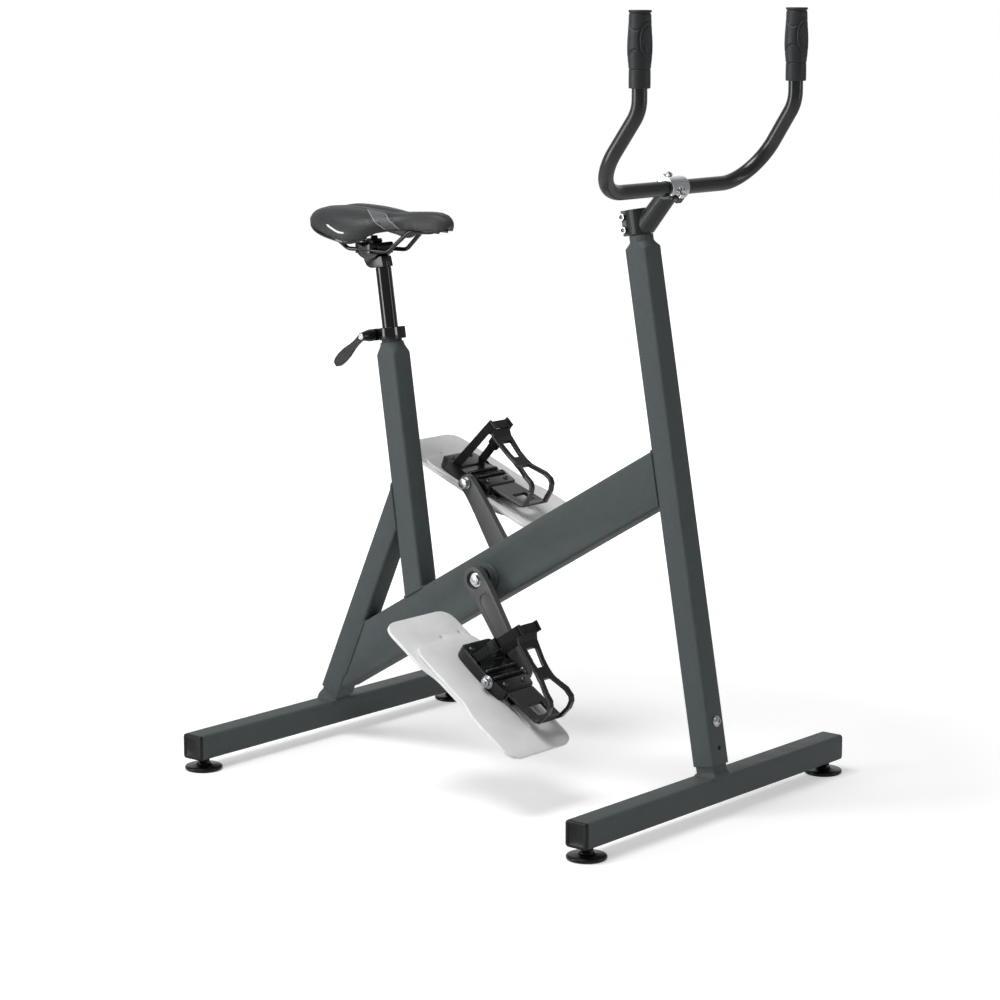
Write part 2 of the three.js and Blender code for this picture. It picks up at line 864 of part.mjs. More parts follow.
// The pedal axle: a hex bolt from the crank's inner side with washers and an end nut.
function pedalAxle() {
  const bodyInner = pedalMiddle - pedalWidth / 2;
  const bodyOuter = pedalMiddle + pedalWidth / 2;
  const washer = axleWasherThickness;
  const nutFace = bodyOuter + axleSpacer;
  return unite(
    cylinder(axleDiameter, axleInner, nutFace, 14),
    hexagon(axleHead, axleInner, axleInner + axleHeadHeight),
    cylinder(axleWasher, eyeInner - gap - washer, eyeInner - gap, 16),
    cylinder(axleWasher - washer, eyeOuter + gap, eyeOuter + gap + washer, 16),
    cylinder(axleDiameter + 2 * washer, eyeOuter + gap, bodyInner - gap, 14),
    cylinder(axleWasher - washer, bodyInner - gap - washer, bodyInner - gap, 16),
    cylinder(axleEndWasher, bodyOuter + gap, bodyOuter + gap + washer, 20),
    cylinder(axleNut + washer, bodyOuter + gap, nutFace, 20),
    hexagon(axleNut, nutFace - gap, nutFace + axleNutHeight),
    cylinder(axleTip, nutFace, axleOuter, 12),
  );
}

// Puts a piece made in the strap's plane in its place in the pedal's frame.
function inStrapPlane(geometry) {
  return geometry.rotateY(strapLean).translate(-strapSeat, 0, -pedalBottom / 2);
}

// The closed loop of webbing; extra thickens it on all sides to make its slots.
function strap(extra = 0) {
  const foot = strapFoot / 2 + extra;
  const head = strapHead / 2 + extra;
  const top = strapHeight + extra;
  const bend = strapThickness * 2;
  const loop = (inset) =>
    outline([
      [-foot + inset, -extra + inset],
      [foot - inset, -extra + inset],
      [foot - inset, strapDepth],
      [head - inset, strapHeight - bend],
      [head - inset - bend / 2, top - inset],
      [-head + inset + bend / 2, top - inset],
      [-head + inset, strapHeight - bend],
      [-foot + inset, strapDepth],
    ]);
  const band = loop(0);
  band.holes.push(loop(strapThickness + 2 * extra));
  const width = strapWidth + 2 * extra;
  const flat = prism(band, -width / 2, width / 2);
  // The outline's first axis becomes Y and its second Z, so the band's width lies along X.
  return inStrapPlane(flat.rotateX(Math.PI / 2).rotateZ(Math.PI / 2));
}

function buckle(side) {
  const lean = Math.atan2((strapFoot - strapHead) / 2, strapHeight - strapDepth);
  const share = (buckleHeight - strapDepth) / (strapHeight - strapDepth);
  const out = strapFoot / 2 + ((strapHead - strapFoot) / 2) * share;
  const plate = block(buckleWidth, buckleThickness, buckleLength)
    .rotateX(side * lean)
    .translate(0, side * (out - strapThickness / 2), buckleHeight);
  return cut(inStrapPlane(plate), strap(gap));
}

// The pedal's moulded body: rear block, recessed tread with two ridges and front block.
// Shares of its reach, and of its depth below the frame or its height above it.
const pedalOutlineShares = [
  [-1, -0.62], [-0.94, -1], [0.9, -1], [1, -0.72], [1, 0], [0.94, 1], [0.26, 1],
];
const pedalRearShares = [[-0.44, 1], [-0.94, 1], [-1, 0.45]];
const pedalPlanShares = [
  [-1, 0.8], [-0.85, 0.93], [-0.5, 0.98], [-0.15, 1], [0.3, 1], [0.8, 0.92], [1, 0.78],
];
const ridgeShares = [-0.19, 0.044];

function pedalBody() {
  const half = pedalWidth / 2;
  const reach = (u) => u * (u < 0 ? pedalRear : pedalFront);
  const points = (shares) =>
    shares.map(([u, n]) => [reach(u), n * (n > 0 ? pedalTop : pedalBottom)]);
  const front = points(pedalOutlineShares);
  const rear = points(pedalRearShares);
  const tread = [[front[front.length - 1][0], pedalTread], [rear[0][0], pedalTread]];
  const side = sideways(outline([...front, ...tread, ...rear]), -half, half);
  const right = pedalPlanShares.map(([u, y]) => [reach(u), y * half]);
  const left = right.map(([u, y]) => [u, -y]).reverse();
  const body = common(side, prism(outline([...right, ...left]), -cutterSize, cutterSize));
  const ridges = ridgeShares.map((share) =>
    block(treadRidge, pedalWidth - 2 * treadRidge, treadRidgeHeight)
      .translate(share * pedalRear, 0, pedalTread + treadRidgeHeight / 2 - gap),
  );
  const bore = crossCylinder(axleDiameter + 2 * gap, -half - overrun, half + overrun, 20)
    .translate(-pedalSetback, 0, -pedalLift);
  const screws = [];
  for (const u of [-screwRear, screwFront]) {
    for (const side of [-1, 1]) {
      const y = (side * screwSpacing) / 2;
      const nutTop = -pedalBottom - 2 * paddleThickness - 3 * gap;
      screws.push(
        unite(
          cylinder(screwShank, nutTop - screwNutHeight, pedalTop, 8),
          cylinder(screwHead, pedalTop - gap, pedalTop + screwHeadHeight, 12),
          hexagon(screwNut, nutTop - screwNutHeight, nutTop),
        ).translate(u, y, 0),
      );
    }
  }
  return unite(cut(unite(body, ...ridges), bore, strap(gap)), ...screws);
}

// The toe cage: one moulded band, seen from the side, that starts flat on the pedal's
// front, turns up round the toe and comes back over the foot to the strap's two ears.
const cageShares = [
  [0, 0], [0.83, 0.02], [0.94, 0.06], [1, 0.3], [0.97, 0.43], [0.89, 0.5], [0.72, 0.535],
  [0.34, 0.57], [0.02, 0.645], [-0.4, 0.78], [-0.52, 0.88],
];
const armHalfShares = [
  [1.03, 0.5], [0.7, 0.48], [0.42, 0.32], [0.22, 0.28], [0, 0.29], [-0.3, 0.34], [-0.7, 0.4],
];
const lowerWindowShares = [[1.1, 0.36], [0.72, 0.33], [0.5, 0.22], [0.38, 0.15]];
const upperWindowShares = [[0.13, 0.13], [0.02, 0.15], [-0.28, 0.19]];
const plateHoleShares = [[0.44, 0.28], [0.74, 0.24]];
const toeWindowShares = [[1.1, 0.36], [0.87, 0.34]];

function bandOutline(points, thickness) {
  const inner = points.map(([x, y], i) => {
    const [ax, ay] = points[Math.max(0, i - 1)];
    const [bx, by] = points[Math.min(points.length - 1, i + 1)];
    const length = Math.hypot(bx - ax, by - ay);
    return [x - ((by - ay) / length) * thickness, y + ((bx - ax) / length) * thickness];
  });
  return outline([...points, ...inner.reverse()]);
}

// A cutter that stands on an outline symmetrical about the cage's middle.
function symmetricPrism(shares, from, to) {
  const right = shares.map(([u, y]) => [pedalFront + u * cageLength, y * cageWidth]);
  const left = right.map(([u, y]) => [u, -y]).reverse();
  return prism(outline([...right, ...left]), from, to);
}

function toeCage() {
  const half = cageWidth / 2;
  const start = pedalFront + gap;
  const points = cageShares.map(([u, n]) => [
    start + u * cageLength,
    n * cageHeight - cageBand / 2,
  ]);
  const band = sideways(bandOutline(points, cageBand), -half, half);
  const lip = block(cageBand * 0.7, cageWidth, cageLip + cageBand)
    .translate(start + (cageBand * 0.7) / 2, 0, cageBand / 2 - (cageLip + cageBand) / 2);
  const hook = block(cageLip * 1.6, cageWidth, cageBand * 0.6)
    .translate(start + cageLip * 0.8, 0, -cageLip);
  const armLevel = cageHeight * 0.3;
  const arms = common(
    cut(band, block(cutterSize, cutterSize, cutterSize)
      .translate(0, 0, armLevel - cutterSize / 2)),
    symmetricPrism(armHalfShares, 0, cageHeight * 1.2),
  );
  const plate = cut(band, block(cutterSize, cutterSize, cutterSize)
    .translate(0, 0, armLevel + cutterSize / 2));
  const earMiddle = strapHead / 2 - strapThickness - cageEar / 2 - 2 * gap;
  const ears = [-1, 1].map((side) =>
    inStrapPlane(
      block(cageEarLength, cageEar, cageEarHeight)
        .translate(0, side * earMiddle, strapHeight + cageRim - cageEarHeight / 2),
    ),
  );
  const windows = [
    symmetricPrism(lowerWindowShares, armLevel - gap, cageHeight),
    symmetricPrism(upperWindowShares, armLevel, cageHeight),
    symmetricPrism(plateHoleShares, -cageHeight, cageBand * 2),
    symmetricPrism(toeWindowShares, cageBand, armLevel + gap),
  ];
  return cut(unite(plate, arms, lip, hook, ...ears), ...windows, strap(gap));
}

// One paddle plate, its wide end at u = 0 and the rest behind it, its top at n = 0.
function paddle(side) {
  const wide = paddleOuter;
  const narrow = paddleOuter - paddleNarrow;
  const r = paddleCorner;
  const shape = new THREE.Shape();
  const y = (value) => side * value;
  shape.moveTo(-r, y(paddleInner));
  shape.quadraticCurveTo(0, y(paddleInner), 0, y(paddleInner + r));
  shape.lineTo(0, y(wide - r));
  shape.quadraticCurveTo(0, y(wide), -r, y(wide));
  shape.lineTo(-paddleWideLength, y(wide));
  shape.lineTo(-paddleWideLength - paddleTaper, y(narrow));
  shape.lineTo(-paddleLength + r, y(narrow));
  shape.quadraticCurveTo(-paddleLength, y(narrow), -paddleLength, y(narrow - r));
  shape.lineTo(-paddleLength, y(paddleInner + r));
  shape.quadraticCurveTo(-paddleLength, y(paddleInner), -paddleLength + r, y(paddleInner));
  for (const lane of [-1, 1]) {
    const middle = pedalMiddle + (lane * screwSpacing) / 2;
    const slot = roundedRectangle(paddleSlotLength, paddleSlot, paddleSlot / 2);
    const moved = slot.getPoints(3).map((point) => new THREE.Vector2(
      point.x - paddleSlotStart - paddleSlotLength / 2,
      point.y + y(middle),
    ));
    shape.holes.push(new THREE.Path(moved));
  }
  return prism(shape, -paddleThickness, 0, 4);
}

function seatpost() {
  const shoulder = seatpostTop - seatpostNeckLength;
  const bottom = seatpostTop - seatpostLength;
  const radius = seatpostDiameter / 2;
  const bore = radius - steererWall;
  return turned([
    [bore, bottom],
    [radius, bottom],
    [radius, shoulder - gap],
    [seatpostNeck / 2, shoulder + gap],
    [seatpostNeck / 2, seatpostTop - gap],
    [seatpostNeck / 2 - gap, seatpostTop],
    [bore - gap, seatpostTop],
    [bore, bottom],
  ]);
}

// The split collar, its ears at the rear and a flat pad in front.
function seatCollar() {
  const bore = seatSleeveDiameter + 2 * gap;
  const half = collarHeight / 2;
  const body = unite(
    cylinder(collarDiameter, -half, half, 28),
    block(collarEarReach, collarEarWidth, collarHeight).translate(-collarEarReach / 2, 0, 0),
    block(collarPadReach, collarPad, collarHeight).translate(collarPadReach / 2, 0, 0),
  );
  const slit = block(collarEarReach + overrun, collarSlit, collarHeight + overrun)
    .translate(-(collarEarReach + overrun) / 2, 0, 0);
  const screwHole = crossCylinder(leverScrew + 2 * gap, -collarEarWidth, collarEarWidth, 14)
    .translate(-leverSetback, 0, 0);
  return cut(body, cylinder(bore, -collarHeight, collarHeight, 28), slit, screwHole);
}

// The lever's screw: through both ears, with its nut on the left and its head in the hub.
function collarScrew() {
  const ear = collarEarWidth / 2;
  const head = ear + leverHubLength;
  return unite(
    crossCylinder(leverScrew, -head, ear + leverScrew, 14),
    hexagon(leverScrew * 1.7, 0, leverScrew).rotateX(-Math.PI / 2).translate(0, ear + gap, 0),
    crossCylinder(leverScrew * 1.25, -head - gap, -head + leverScrew / 2, 14),
  );
}

// The clamping lever: a hub round the screw and a leaf-shaped handle that hangs back.
const leafShares = [
  [0, 0.3], [0.2, 0.26], [0.34, 0.3], [0.55, 0.46], [0.75, 0.5], [0.9, 0.42], [0.98, 0.22],
];

function clampLever() {
  const ear = -collarEarWidth / 2 - gap;
  const hubRadius = leverHubDiameter / 2;
  const tip = leverHubTip / 2;
  const length = leverHubLength;
  const hub = towardsY(
    turned([
      [0, 0],
      [hubRadius * 0.8, 0],
      [hubRadius, length * 0.18],
      [hubRadius * 0.95, length * 0.4],
      [tip * 1.25, length * 0.75],
      [tip, length],
      [0, length],
    ], 20),
    -1,
  ).translate(0, ear, 0);
  const right = leafShares.map(([along, half]) => [along * leverReach, half * leverWidth]);
  const left = right.map(([x, z]) => [x, -z]).reverse();
  const leaf = sideways(outline([...right, ...left]), 0, leverThickness)
    .rotateZ(degrees(3))
    .translate(0, ear - length + gap, 0)
    .rotateY(leverDroop);
  const hole = crossCylinder(leverScrew + 2 * gap, ear - length - overrun, overrun, 14);
  const sink = crossCylinder(
    leverScrew * 1.25 + 2 * gap,
    ear - length - overrun,
    ear - length + leverScrew / 2 + 3 * gap,
    14,
  );
  return cut(unite(hub, leaf), hole, sink);
}

// The seatpost's head, in the post's frame: its outline as shares of its reach behind
// the post's axis or in front of it, and of its height over the post's shoulder.
const headShares = [
  [1, 0], [0.8, 1], [-1, 1], [-0.94, 0.62], [-0.82, 0.25], [-0.62, 0.06], [-0.42, 0],
];

function clampHead() {
  const bottom = seatpostTop - seatpostNeckLength + gap;
  const points = headShares.map(([u, up]) => [
    u * (u < 0 ? headReach : headFront),
    bottom + up * headHeight,
  ]);
  const body = sideways(outline(points), -headWidth / 2, headWidth / 2);
  const neck = cylinder(seatpostNeck + 2 * gap, bottom - overrun, seatpostTop + gap);
  const inTilt = (tool) => tool.rotateY(-seatTubeLean)
    .translate(...seenFrom(seatAxis, tiltAxisX, tiltAxisZ));
  const hollow = inTilt(crossCylinder(2 * (cradleRadius + gap), -headWidth, headWidth, 64));
  const hole = inTilt(cylinder(clampBoltDiameter + 2 * gap, -2 * cradleRadius, 0, 14));
  const sink = inTilt(
    cylinder(clampBoltHead + 2 * gap, -2 * cradleRadius, -clampBoltReach + gap, 16),
  );
  const above = inTilt(
    block(cutterSize, cutterSize, cutterSize).translate(0, 0, cutterSize / 2 - headDrop),
  );
  return cut(body, neck, hollow, hole, sink, above);
}

// One rail from the rear to the nose: place along, spread, and rise to the base.
const railShares = [
  [-0.74, 1.75, 0.94], [-0.52, 1.3, 0.4], [-0.37, 1, 0], [0.3, 1, 0], [0.54, 0.74, 1],
  [0.74, 0.36, 1],
];
const railBendShares = [5, 3, 5, 4, 3, 3, 4, 5, 3, 5];

function railPath() {
  const front = saddleRear + saddleLength;
  const seat = saddleFloor + bellyShare * saddleDepth - baseThickness - 4 * gap;
  const rise = seat - railDiameter / 2 - railHeight;
  const side = (sign) =>
    railShares.map(([along, spread, up]) => new THREE.Vector3(
      along * (along < 0 ? -saddleRear : front),
      (sign * spread * railSpacing) / 2,
      railHeight + up * rise,
    ));
  return [...side(1), ...side(-1).reverse()];
}

function railRod(extra = 0) {
  const corners = railPath();
  const radii = railBendShares.map((share) => share * railDiameter * 0.5);
  return bentRod(new BentPath(corners, radii, 2), railDiameter + 2 * extra, 8);
}

function railGrooves() {
  return [-1, 1].map((side) =>
    cylinder(railDiameter + 2 * gap, -jawLength, jawLength, 14)
      .rotateY(Math.PI / 2)
      .translate(0, (side * railSpacing) / 2, railHeight),
  );
}

function jawPlan(from, to) {
  return prism(roundedRectangle(jawLength, jawWidth, jawCorner), from, to);
}

// The cradle: a plate under the rails on a rocker that lies in the head's hollow.
function lowerJaw() {
  const plate = jawPlan(-cradleFloor, railHeight - gap / 2);
  const rocker = common(
    crossCylinder(2 * cradleRadius, -cradleWidth / 2, cradleWidth / 2, 64),
    block(jawLength, cradleWidth, cradleRadius)
      .translate(0, 0, gap - cradleFloor - cradleRadius / 2),
  );
  const slot = block(boltSlot, clampBoltDiameter + 2 * gap, cutterSize);
  return cut(unite(plate, rocker), slot, ...railGrooves());
}

// The upper jaw: two humps with the bolt's barrel seat between them.
const humpShares = [
  [1, 0], [1, 0.3], [0.93, 0.66], [0.76, 0.93], [0.6, 1], [0.44, 0.92], [0.3, 0.7],
];

function upperJaw() {
  const floor = railHeight + gap / 2;
  const front = humpShares.map(([u, up]) => [(u * jawLength) / 2, floor + up * jawHeight]);
  const rear = front.map(([x, z]) => [-x, z]).reverse();
  const humps = sideways(outline([...front, ...rear]), -jawWidth / 2, jawWidth / 2);
  const seat = crossCylinder(boltBarrel + 2 * gap, -jawWidth, jawWidth, 28);
  const slot = block(boltSlot, clampBoltDiameter + 2 * gap, cutterSize);
  return cut(common(humps, jawPlan(floor, floor + jawHeight)), seat, slot, ...railGrooves());
}

// The clamp's bolt with its barrel seat, washer and nut, all on the tilt axis.
function clampBolt() {
  const barrel = common(
    crossCylinder(boltBarrel, -boltBarrelWidth / 2, boltBarrelWidth / 2, 28),
    block(boltBarrel, boltBarrelWidth, boltBarrel).translate(0, 0, -boltBarrel / 2),
  );
  return unite(
    cylinder(clampBoltHead, -clampBoltReach - clampBoltHeadHeight, -clampBoltReach, 16),
    cylinder(clampBoltDiameter, -clampBoltReach - gap, boltWasherThickness, 14),
    barrel,
    cylinder(boltWasher, -gap, boltWasherThickness, 24),
    hexagon(clampBoltHead, boltWasherThickness - gap, boltWasherThickness + clampBoltHeadHeight),
  );
}

// Saddle sections from the rear to the nose: place along the saddle, half width, top,
// lower edge and belly, the last three as shares of the saddle's depth.
const bellyShare = 0.52;
const saddleShares = [
  [0, 0.4, 0.76, 0.64, 0.66], [0.03, 0.68, 0.88, 0.5, 0.56], [0.09, 0.86, 0.97, 0.34, 0.52],
  [0.18, 0.96, 1, 0.2, 0.52], [0.3, 1, 0.97, 0.08, 0.52], [0.4, 0.97, 0.93, 0, 0.52],
  [0.48, 0.88, 0.89, 0.08, 0.52], [0.54, 0.75, 0.87, 0.22, 0.52], [0.6, 0.56, 0.86, 0.35, 0.52],
  [0.66, 0.4, 0.88, 0.37, 0.52], [0.74, 0.31, 0.92, 0.36, 0.52], [0.84, 0.27, 0.95, 0.34, 0.52],
  [0.93, 0.23, 0.91, 0.34, 0.5], [0.98, 0.15, 0.79, 0.42, 0.5], [1, 0.07, 0.7, 0.54, 0.58],
];
// Half a section: across as a share of the half width, up from the edge (0) to the top (1).
const crownShares = [
  [0, 0.97], [0.14, 0.985], [0.34, 1], [0.56, 0.965], [0.74, 0.88], [0.88, 0.7], [0.97, 0.45],
  [1, 0.24], [0.985, 0.08], [0.95, 0],
];
const baseInsetShare = 0.95;
const bellyShares = [[0.86, 0.12], [0.66, 0.6], [0.4, 1], [0, 1]];
const baseShares = bellyShares.slice(1);

// A closed ring of points from its right half, which runs from the middle to the middle.
function mirroredRing(x, right) {
  const left = right.slice(1, -1).map(([across, z]) => [-across, z]).reverse();
  return [...right, ...left].map(([across, z]) => new THREE.Vector3(x, -across, z));
}

function saddleSection([along, half, top, edge, belly]) {
  const width = (half * saddleWidth) / 2;
  const level = (share) => saddleFloor + share * saddleDepth;
  const outer = crownShares.map(([a, up]) => [a * width, level(edge + (top - edge) * up)]);
  const under = bellyShares.map(([a, up]) => [a * width, level(edge + (belly - edge) * up)]);
  return mirroredRing(saddleRear + along * saddleLength, [...outer, ...under]);
}

function saddlePad() {
  return cut(loft(saddleShares.map(saddleSection)), railRod(gap));
}

// The moulded base under the pad: its upper side follows the pad's belly.
function saddleBase() {
  const rings = saddleShares.slice(2, -2).map(([along, half, , edge, belly]) => {
    const width = (half * saddleWidth) / 2;
    const level = (up) => saddleFloor + (edge + (belly - edge) * up) * saddleDepth - 4 * gap;
    const upper = baseShares.map(([a, up]) => [a * width * baseInsetShare, level(up)]);
    const lower = upper.map(([a, z]) => [a * baseInsetShare, z - baseThickness]);
    return mirroredRing(saddleRear + along * saddleLength, [...upper.reverse(), ...lower]);
  });
  return cut(loft(rings), railRod(gap));
}

// Stem: clamp on the steerer, oval arm and the rear half of the bar's cup.
const armAngle = stemAxis.lean - postLean;
const faceEarSpan = 2 * faceBoltOffset + faceBoltHead + 2 * faceEarMargin;

function inArm(geometry) {
  return geometry.rotateY(armAngle);
}

function stem() {
  const clamp = cylinder(stemClampDiameter, stemClampBottom, stemClampTop, 24);
  const height = stemClampTop - stemClampBottom;
  const middle = (stemClampTop + stemClampBottom) / 2;
  const ear = block(stemEarReach, stemEarWidth, height)
    .translate(-stemEarReach / 2, 0, middle);
  const armEnd = stemReach - cupDiameter / 4;
  const arm = inArm(
    loft([
      ring(stemArmRoot, stemArmRoot, stemArmRoot / 2 - gap, 0, 4),
      ring(stemArmTip, stemArmTip, stemArmTip / 2 - gap, armEnd, 4),
    ]),
  );
  const cup = inArm(
    unite(
      crossCylinder(cupDiameter, -cupWidth / 2, cupWidth / 2, 24),
      block(faceEarSpan, faceEarWidth, 2 * stemFaceEarDepth),
    ).translate(0, 0, stemReach),
  );
  const front = inArm(
    block(cutterSize, cutterSize, cutterSize)
      .translate(0, 0, stemReach - gap + cutterSize / 2),
  );
  const below = block(cutterSize, cutterSize, cutterSize)
    .translate(0, 0, stemClampBottom - cutterSize / 2);
  const barHole = inArm(
    crossCylinder(barDiameter + 2 * gap, -cupWidth, cupWidth).translate(0, 0, stemReach),
  );
  const steererHole = cylinder(
    steererDiameter + 2 * gap,
    stemClampBottom - overrun,
    stemClampTop + cutterSize,
    24,
  );
  const slit = block(stemEarReach, stemSlit, height + 2 * overrun)
    .translate(-(stemEarReach + steererDiameter / 2) / 2 - overrun / 2, 0, middle);
  const boltHoles = [-1, 1].map((side) =>
    inArm(
      cylinder(faceBoltShank + 2 * gap, stemReach - faceBoltLength, stemReach + overrun, 12)
        .translate(side * faceBoltOffset, 0, 0),
    ),
  );
  const crossBolts = [-1, 1].map((side) =>
    crossCylinder(crossBoltHead, -stemEarWidth / 2 - faceBoltHeadHeight / 2, stemEarWidth / 2, 12)
      .translate(-crossBoltSetback, 0, middle + (side * crossBoltSpacing) / 2),
  );
  const tools = [front, below, barHole, steererHole, slit, ...boltHoles];
  const body = cut(unite(clamp, ear, arm, cup), ...tools);
  return unite(body, ...crossBolts);
}

// The polished front half of the bar clamp, in the arm's frame.
function faceplate() {
  const cup = unite(
    crossCylinder(cupDiameter, -cupWidth / 2, cupWidth / 2, 24),
    block(faceEarSpan, faceEarWidth, 2 * faceThickness),
  );
  const back = block(cutterSize, cutterSize, cutterSize).translate(0, 0, gap - cutterSize / 2);
  const barHole = crossCylinder(barDiameter + 2 * gap, -cupWidth, cupWidth);
  const boltHoles = [-1, 1].map((side) =>
    cylinder(faceBoltShank + 2 * gap, -overrun, cupDiameter, 12)
      .translate(side * faceBoltOffset, 0, 0),
  );
  const seats = [-1, 1].map((side) =>
    cylinder(faceBoltHead + 2 * faceEarMargin, faceThickness, cupDiameter, 16)
      .translate(side * faceBoltOffset, 0, 0),
  );
  return cut(cup, back, barHole, ...boltHoles, ...seats);
}

function faceBolt() {
  const seat = faceThickness + gap;
  const body = unite(
    cylinder(faceBoltShank, seat - faceBoltLength, seat + gap, 14),
    cylinder(faceBoltHead, seat, seat + faceBoltHeadHeight, 18),
  );
  return cut(body, hexagon(faceBoltHead / 2, seat + faceBoltHeadHeight / 2, seat + cupDiameter));
}

function handlebar() {
  const at = (x, y, z) => new THREE.Vector3(x, y, z);
  const corners = [
    at(barForward, -barSpread, barTop),
    at(barForward, -barSpread, barRise),
    at(0, -barCorner, 0),
    at(0, barCorner, 0),
    at(barForward, barSpread, barRise),
    at(barForward, barSpread, barTop),
  ];
  const radii = [barUpperBend, barBend, barBend, barUpperBend];
  return bentRod(new BentPath(corners, radii), barDiameter);
}

// A grip: collar, groove, swelling body with two wavy grooves, and the flange at its top.
const gripShares = [
  [0.84, 0], [0.86, 0.02], [0.86, 0.22], [0.82, 0.245], [0.82, 0.265], [0.93, 0.29],
  [0.97, 0.39], [0.94, 0.41], [0.94, 0.43], [0.99, 0.45], [1, 0.55], [0.97, 0.68],
  [0.91, 0.8], [0.87, 0.82], [0.87, 0.85], [0.89, 0.87], [0.83, 0.95], [0.83, 0.965],
  [0.88, 0.972], [0.88, 0.99], [0.84, 1],
];

function grip() {
  const outer = gripShares.map(([r, z]) => [(r * gripDiameter) / 2, z * gripLength]);
  const bore = barDiameter / 2 + gap;
  return turned([
    [bore, 0],
    ...outer,
    [0, gripLength],
    [0, gripLength - gripCap],
    [bore, gripLength - gripCap],
    [bore, 0],
  ], 16);
}

// Assembly.
const bike = new THREE.Group();

function group(parent, position, turn = 0) {
  const made = new THREE.Group();
  made.position.set(...position);
  made.rotation.y = turn;
  parent.add(made);
  return made;
}

function piece(parent, name, geometry, material) {
  const mesh = new THREE.Mesh(geometry, material);
  mesh.name = name;
  mesh.geometry.computeVertexNormals();
  parent.add(mesh);
  return mesh;
}

function addFoot(end, side, offset, lean, boltHeights) {
  const middle = footClearance + tubeSide / 2;
  const at = group(bike, [(side * footSpan) / 2, 0, middle]);
  piece(at, `${end}_foot`, foot(offset, lean, side, boltHeights), powderCoat);
  for (const [hand, sign] of [["right", -1], ["left", 1]]) {
    const cap = piece(at, `${end}_foot_cap_${hand}`, footCap(), blackPlastic);
    cap.position.y = sign * (footLength / 2 - capThickness);
    cap.rotation.z = sign > 0 ? 0 : Math.PI;
    const pad = piece(at, `levelling_pad_${end}_${hand}`, levellingPad(), blackPlastic);
    pad.position.set(0, sign * (footLength / 2 - padInset), -middle);
    const stud = piece(at, `levelling_stud_${end}_${hand}`, levellingStud(), stainless);
    stud.position.copy(pad.position);
  }
}

function addFrame() {
  const along = (axis) => group(bike, [axis.x, 0, axis.z], axis.lean);
  const post = along(postAxis);
  piece(post, "front_post", frontPost(), powderCoat);
  const postBolt = piece(post, "post_bolt", frameBolt(), stainless);
  postBolt.position.set(tubeSide / 2 + gap, 0, postBoltHeight);
  postBolt.rotation.y = Math.PI / 2;
  const brace = along(braceAxis);
  piece(brace, "rear_brace", rearBrace(), powderCoat);
  const braceBolt = piece(brace, "brace_bolt", frameBolt(), stainless);
  braceBolt.position.set(-tubeSide / 2 - gap, 0, postBoltHeight);
  braceBolt.rotation.y = -Math.PI / 2;
  piece(along(beamAxis), "main_beam", mainBeam(), powderCoat);
  piece(along(seatAxis), "seat_tube", seatTube(), powderCoat);
}

function addCranks() {
  const axis = [crankAxisX, 0, crankAxisZ];
  const still = group(bike, axis);
  piece(still, "bottom_bracket_shell", bottomBracketShell(), powderCoat);
  piece(still, "bearing_cup_left", towardsY(bearingCup()), blackPlastic);
  piece(still, "bearing_cup_right", towardsY(bearingCup(), -1), blackPlastic);
  const turning = group(bike, axis, crankAngle);
  piece(turning, "crank_spindle", spindle(), stainless);
  for (const [hand, sign] of [["right", -1], ["left", 1]]) {
    const arm = piece(turning, `crank_${hand}`, crank(), crankAlloy);
    arm.rotation.z = sign < 0 ? 0 : Math.PI;
    piece(turning, `crank_bolt_${hand}`, towardsY(crankBoltPiece(), sign), stainless);
    const axle = piece(turning, `pedal_axle_${hand}`, towardsY(pedalAxle(), sign), stainless);
    axle.position.x = -sign * crankLength;
    addPedal(turning, hand, sign);
  }
}

function addPedal(parent, hand, sign) {
  const at = group(parent, [-sign * crankLength, 0, 0], pedalTilt[hand] - crankAngle);
  const middle = group(at, [pedalSetback, sign * pedalMiddle, pedalLift]);
  piece(middle, `pedal_body_${hand}`, pedalBody(), blackPlastic);
  piece(middle, `toe_cage_${hand}`, toeCage(), blackPlastic);
  piece(middle, `toe_strap_${hand}`, strap(), webbing);
  piece(middle, `strap_buckle_${hand}`, buckle(sign), stainless);
  const upper = piece(at, `paddle_upper_${hand}`, paddle(sign), paddlePlastic);
  const seat = pedalLift - pedalBottom - gap;
  upper.position.set(pedalSetback + paddleUpperReach, 0, seat);
  const lower = piece(at, `paddle_lower_${hand}`, paddle(sign), paddlePlastic);
  lower.rotation.y = Math.PI;
  lower.position.set(pedalSetback - paddleLowerReach, 0, seat - 2 * paddleThickness - gap);
}

function addSeat() {
  const at = group(bike, [seatAxis.x, 0, seatAxis.z], seatTubeLean);
  piece(at, "seatpost", seatpost(), glossBlack);
  piece(at, "clamp_head", clampHead(), satinBlack);
  const collar = group(at, [0, 0, seatNeckTop + collarRise + collarHeight / 2]);
  piece(collar, "seat_collar", seatCollar(), satinBlack);
  const pivot = group(collar, [-leverSetback, 0, 0], -seatTubeLean);
  piece(pivot, "collar_screw", collarScrew(), stainless);
  piece(pivot, "clamp_lever", clampLever(), satinBlack);
  const tilt = group(bike, [tiltAxisX, 0, tiltAxisZ]);
  piece(tilt, "clamp_jaw_lower", lowerJaw(), satinBlack);
  piece(tilt, "clamp_jaw_upper", upperJaw(), satinBlack);
  piece(tilt, "clamp_bolt", clampBolt(), stainless);
  piece(tilt, "saddle_rails", railRod(), satinBlack);
  piece(tilt, "saddle_base", saddleBase(), blackPlastic);
  piece(tilt, "saddle_pad", saddlePad(), vinyl);
}

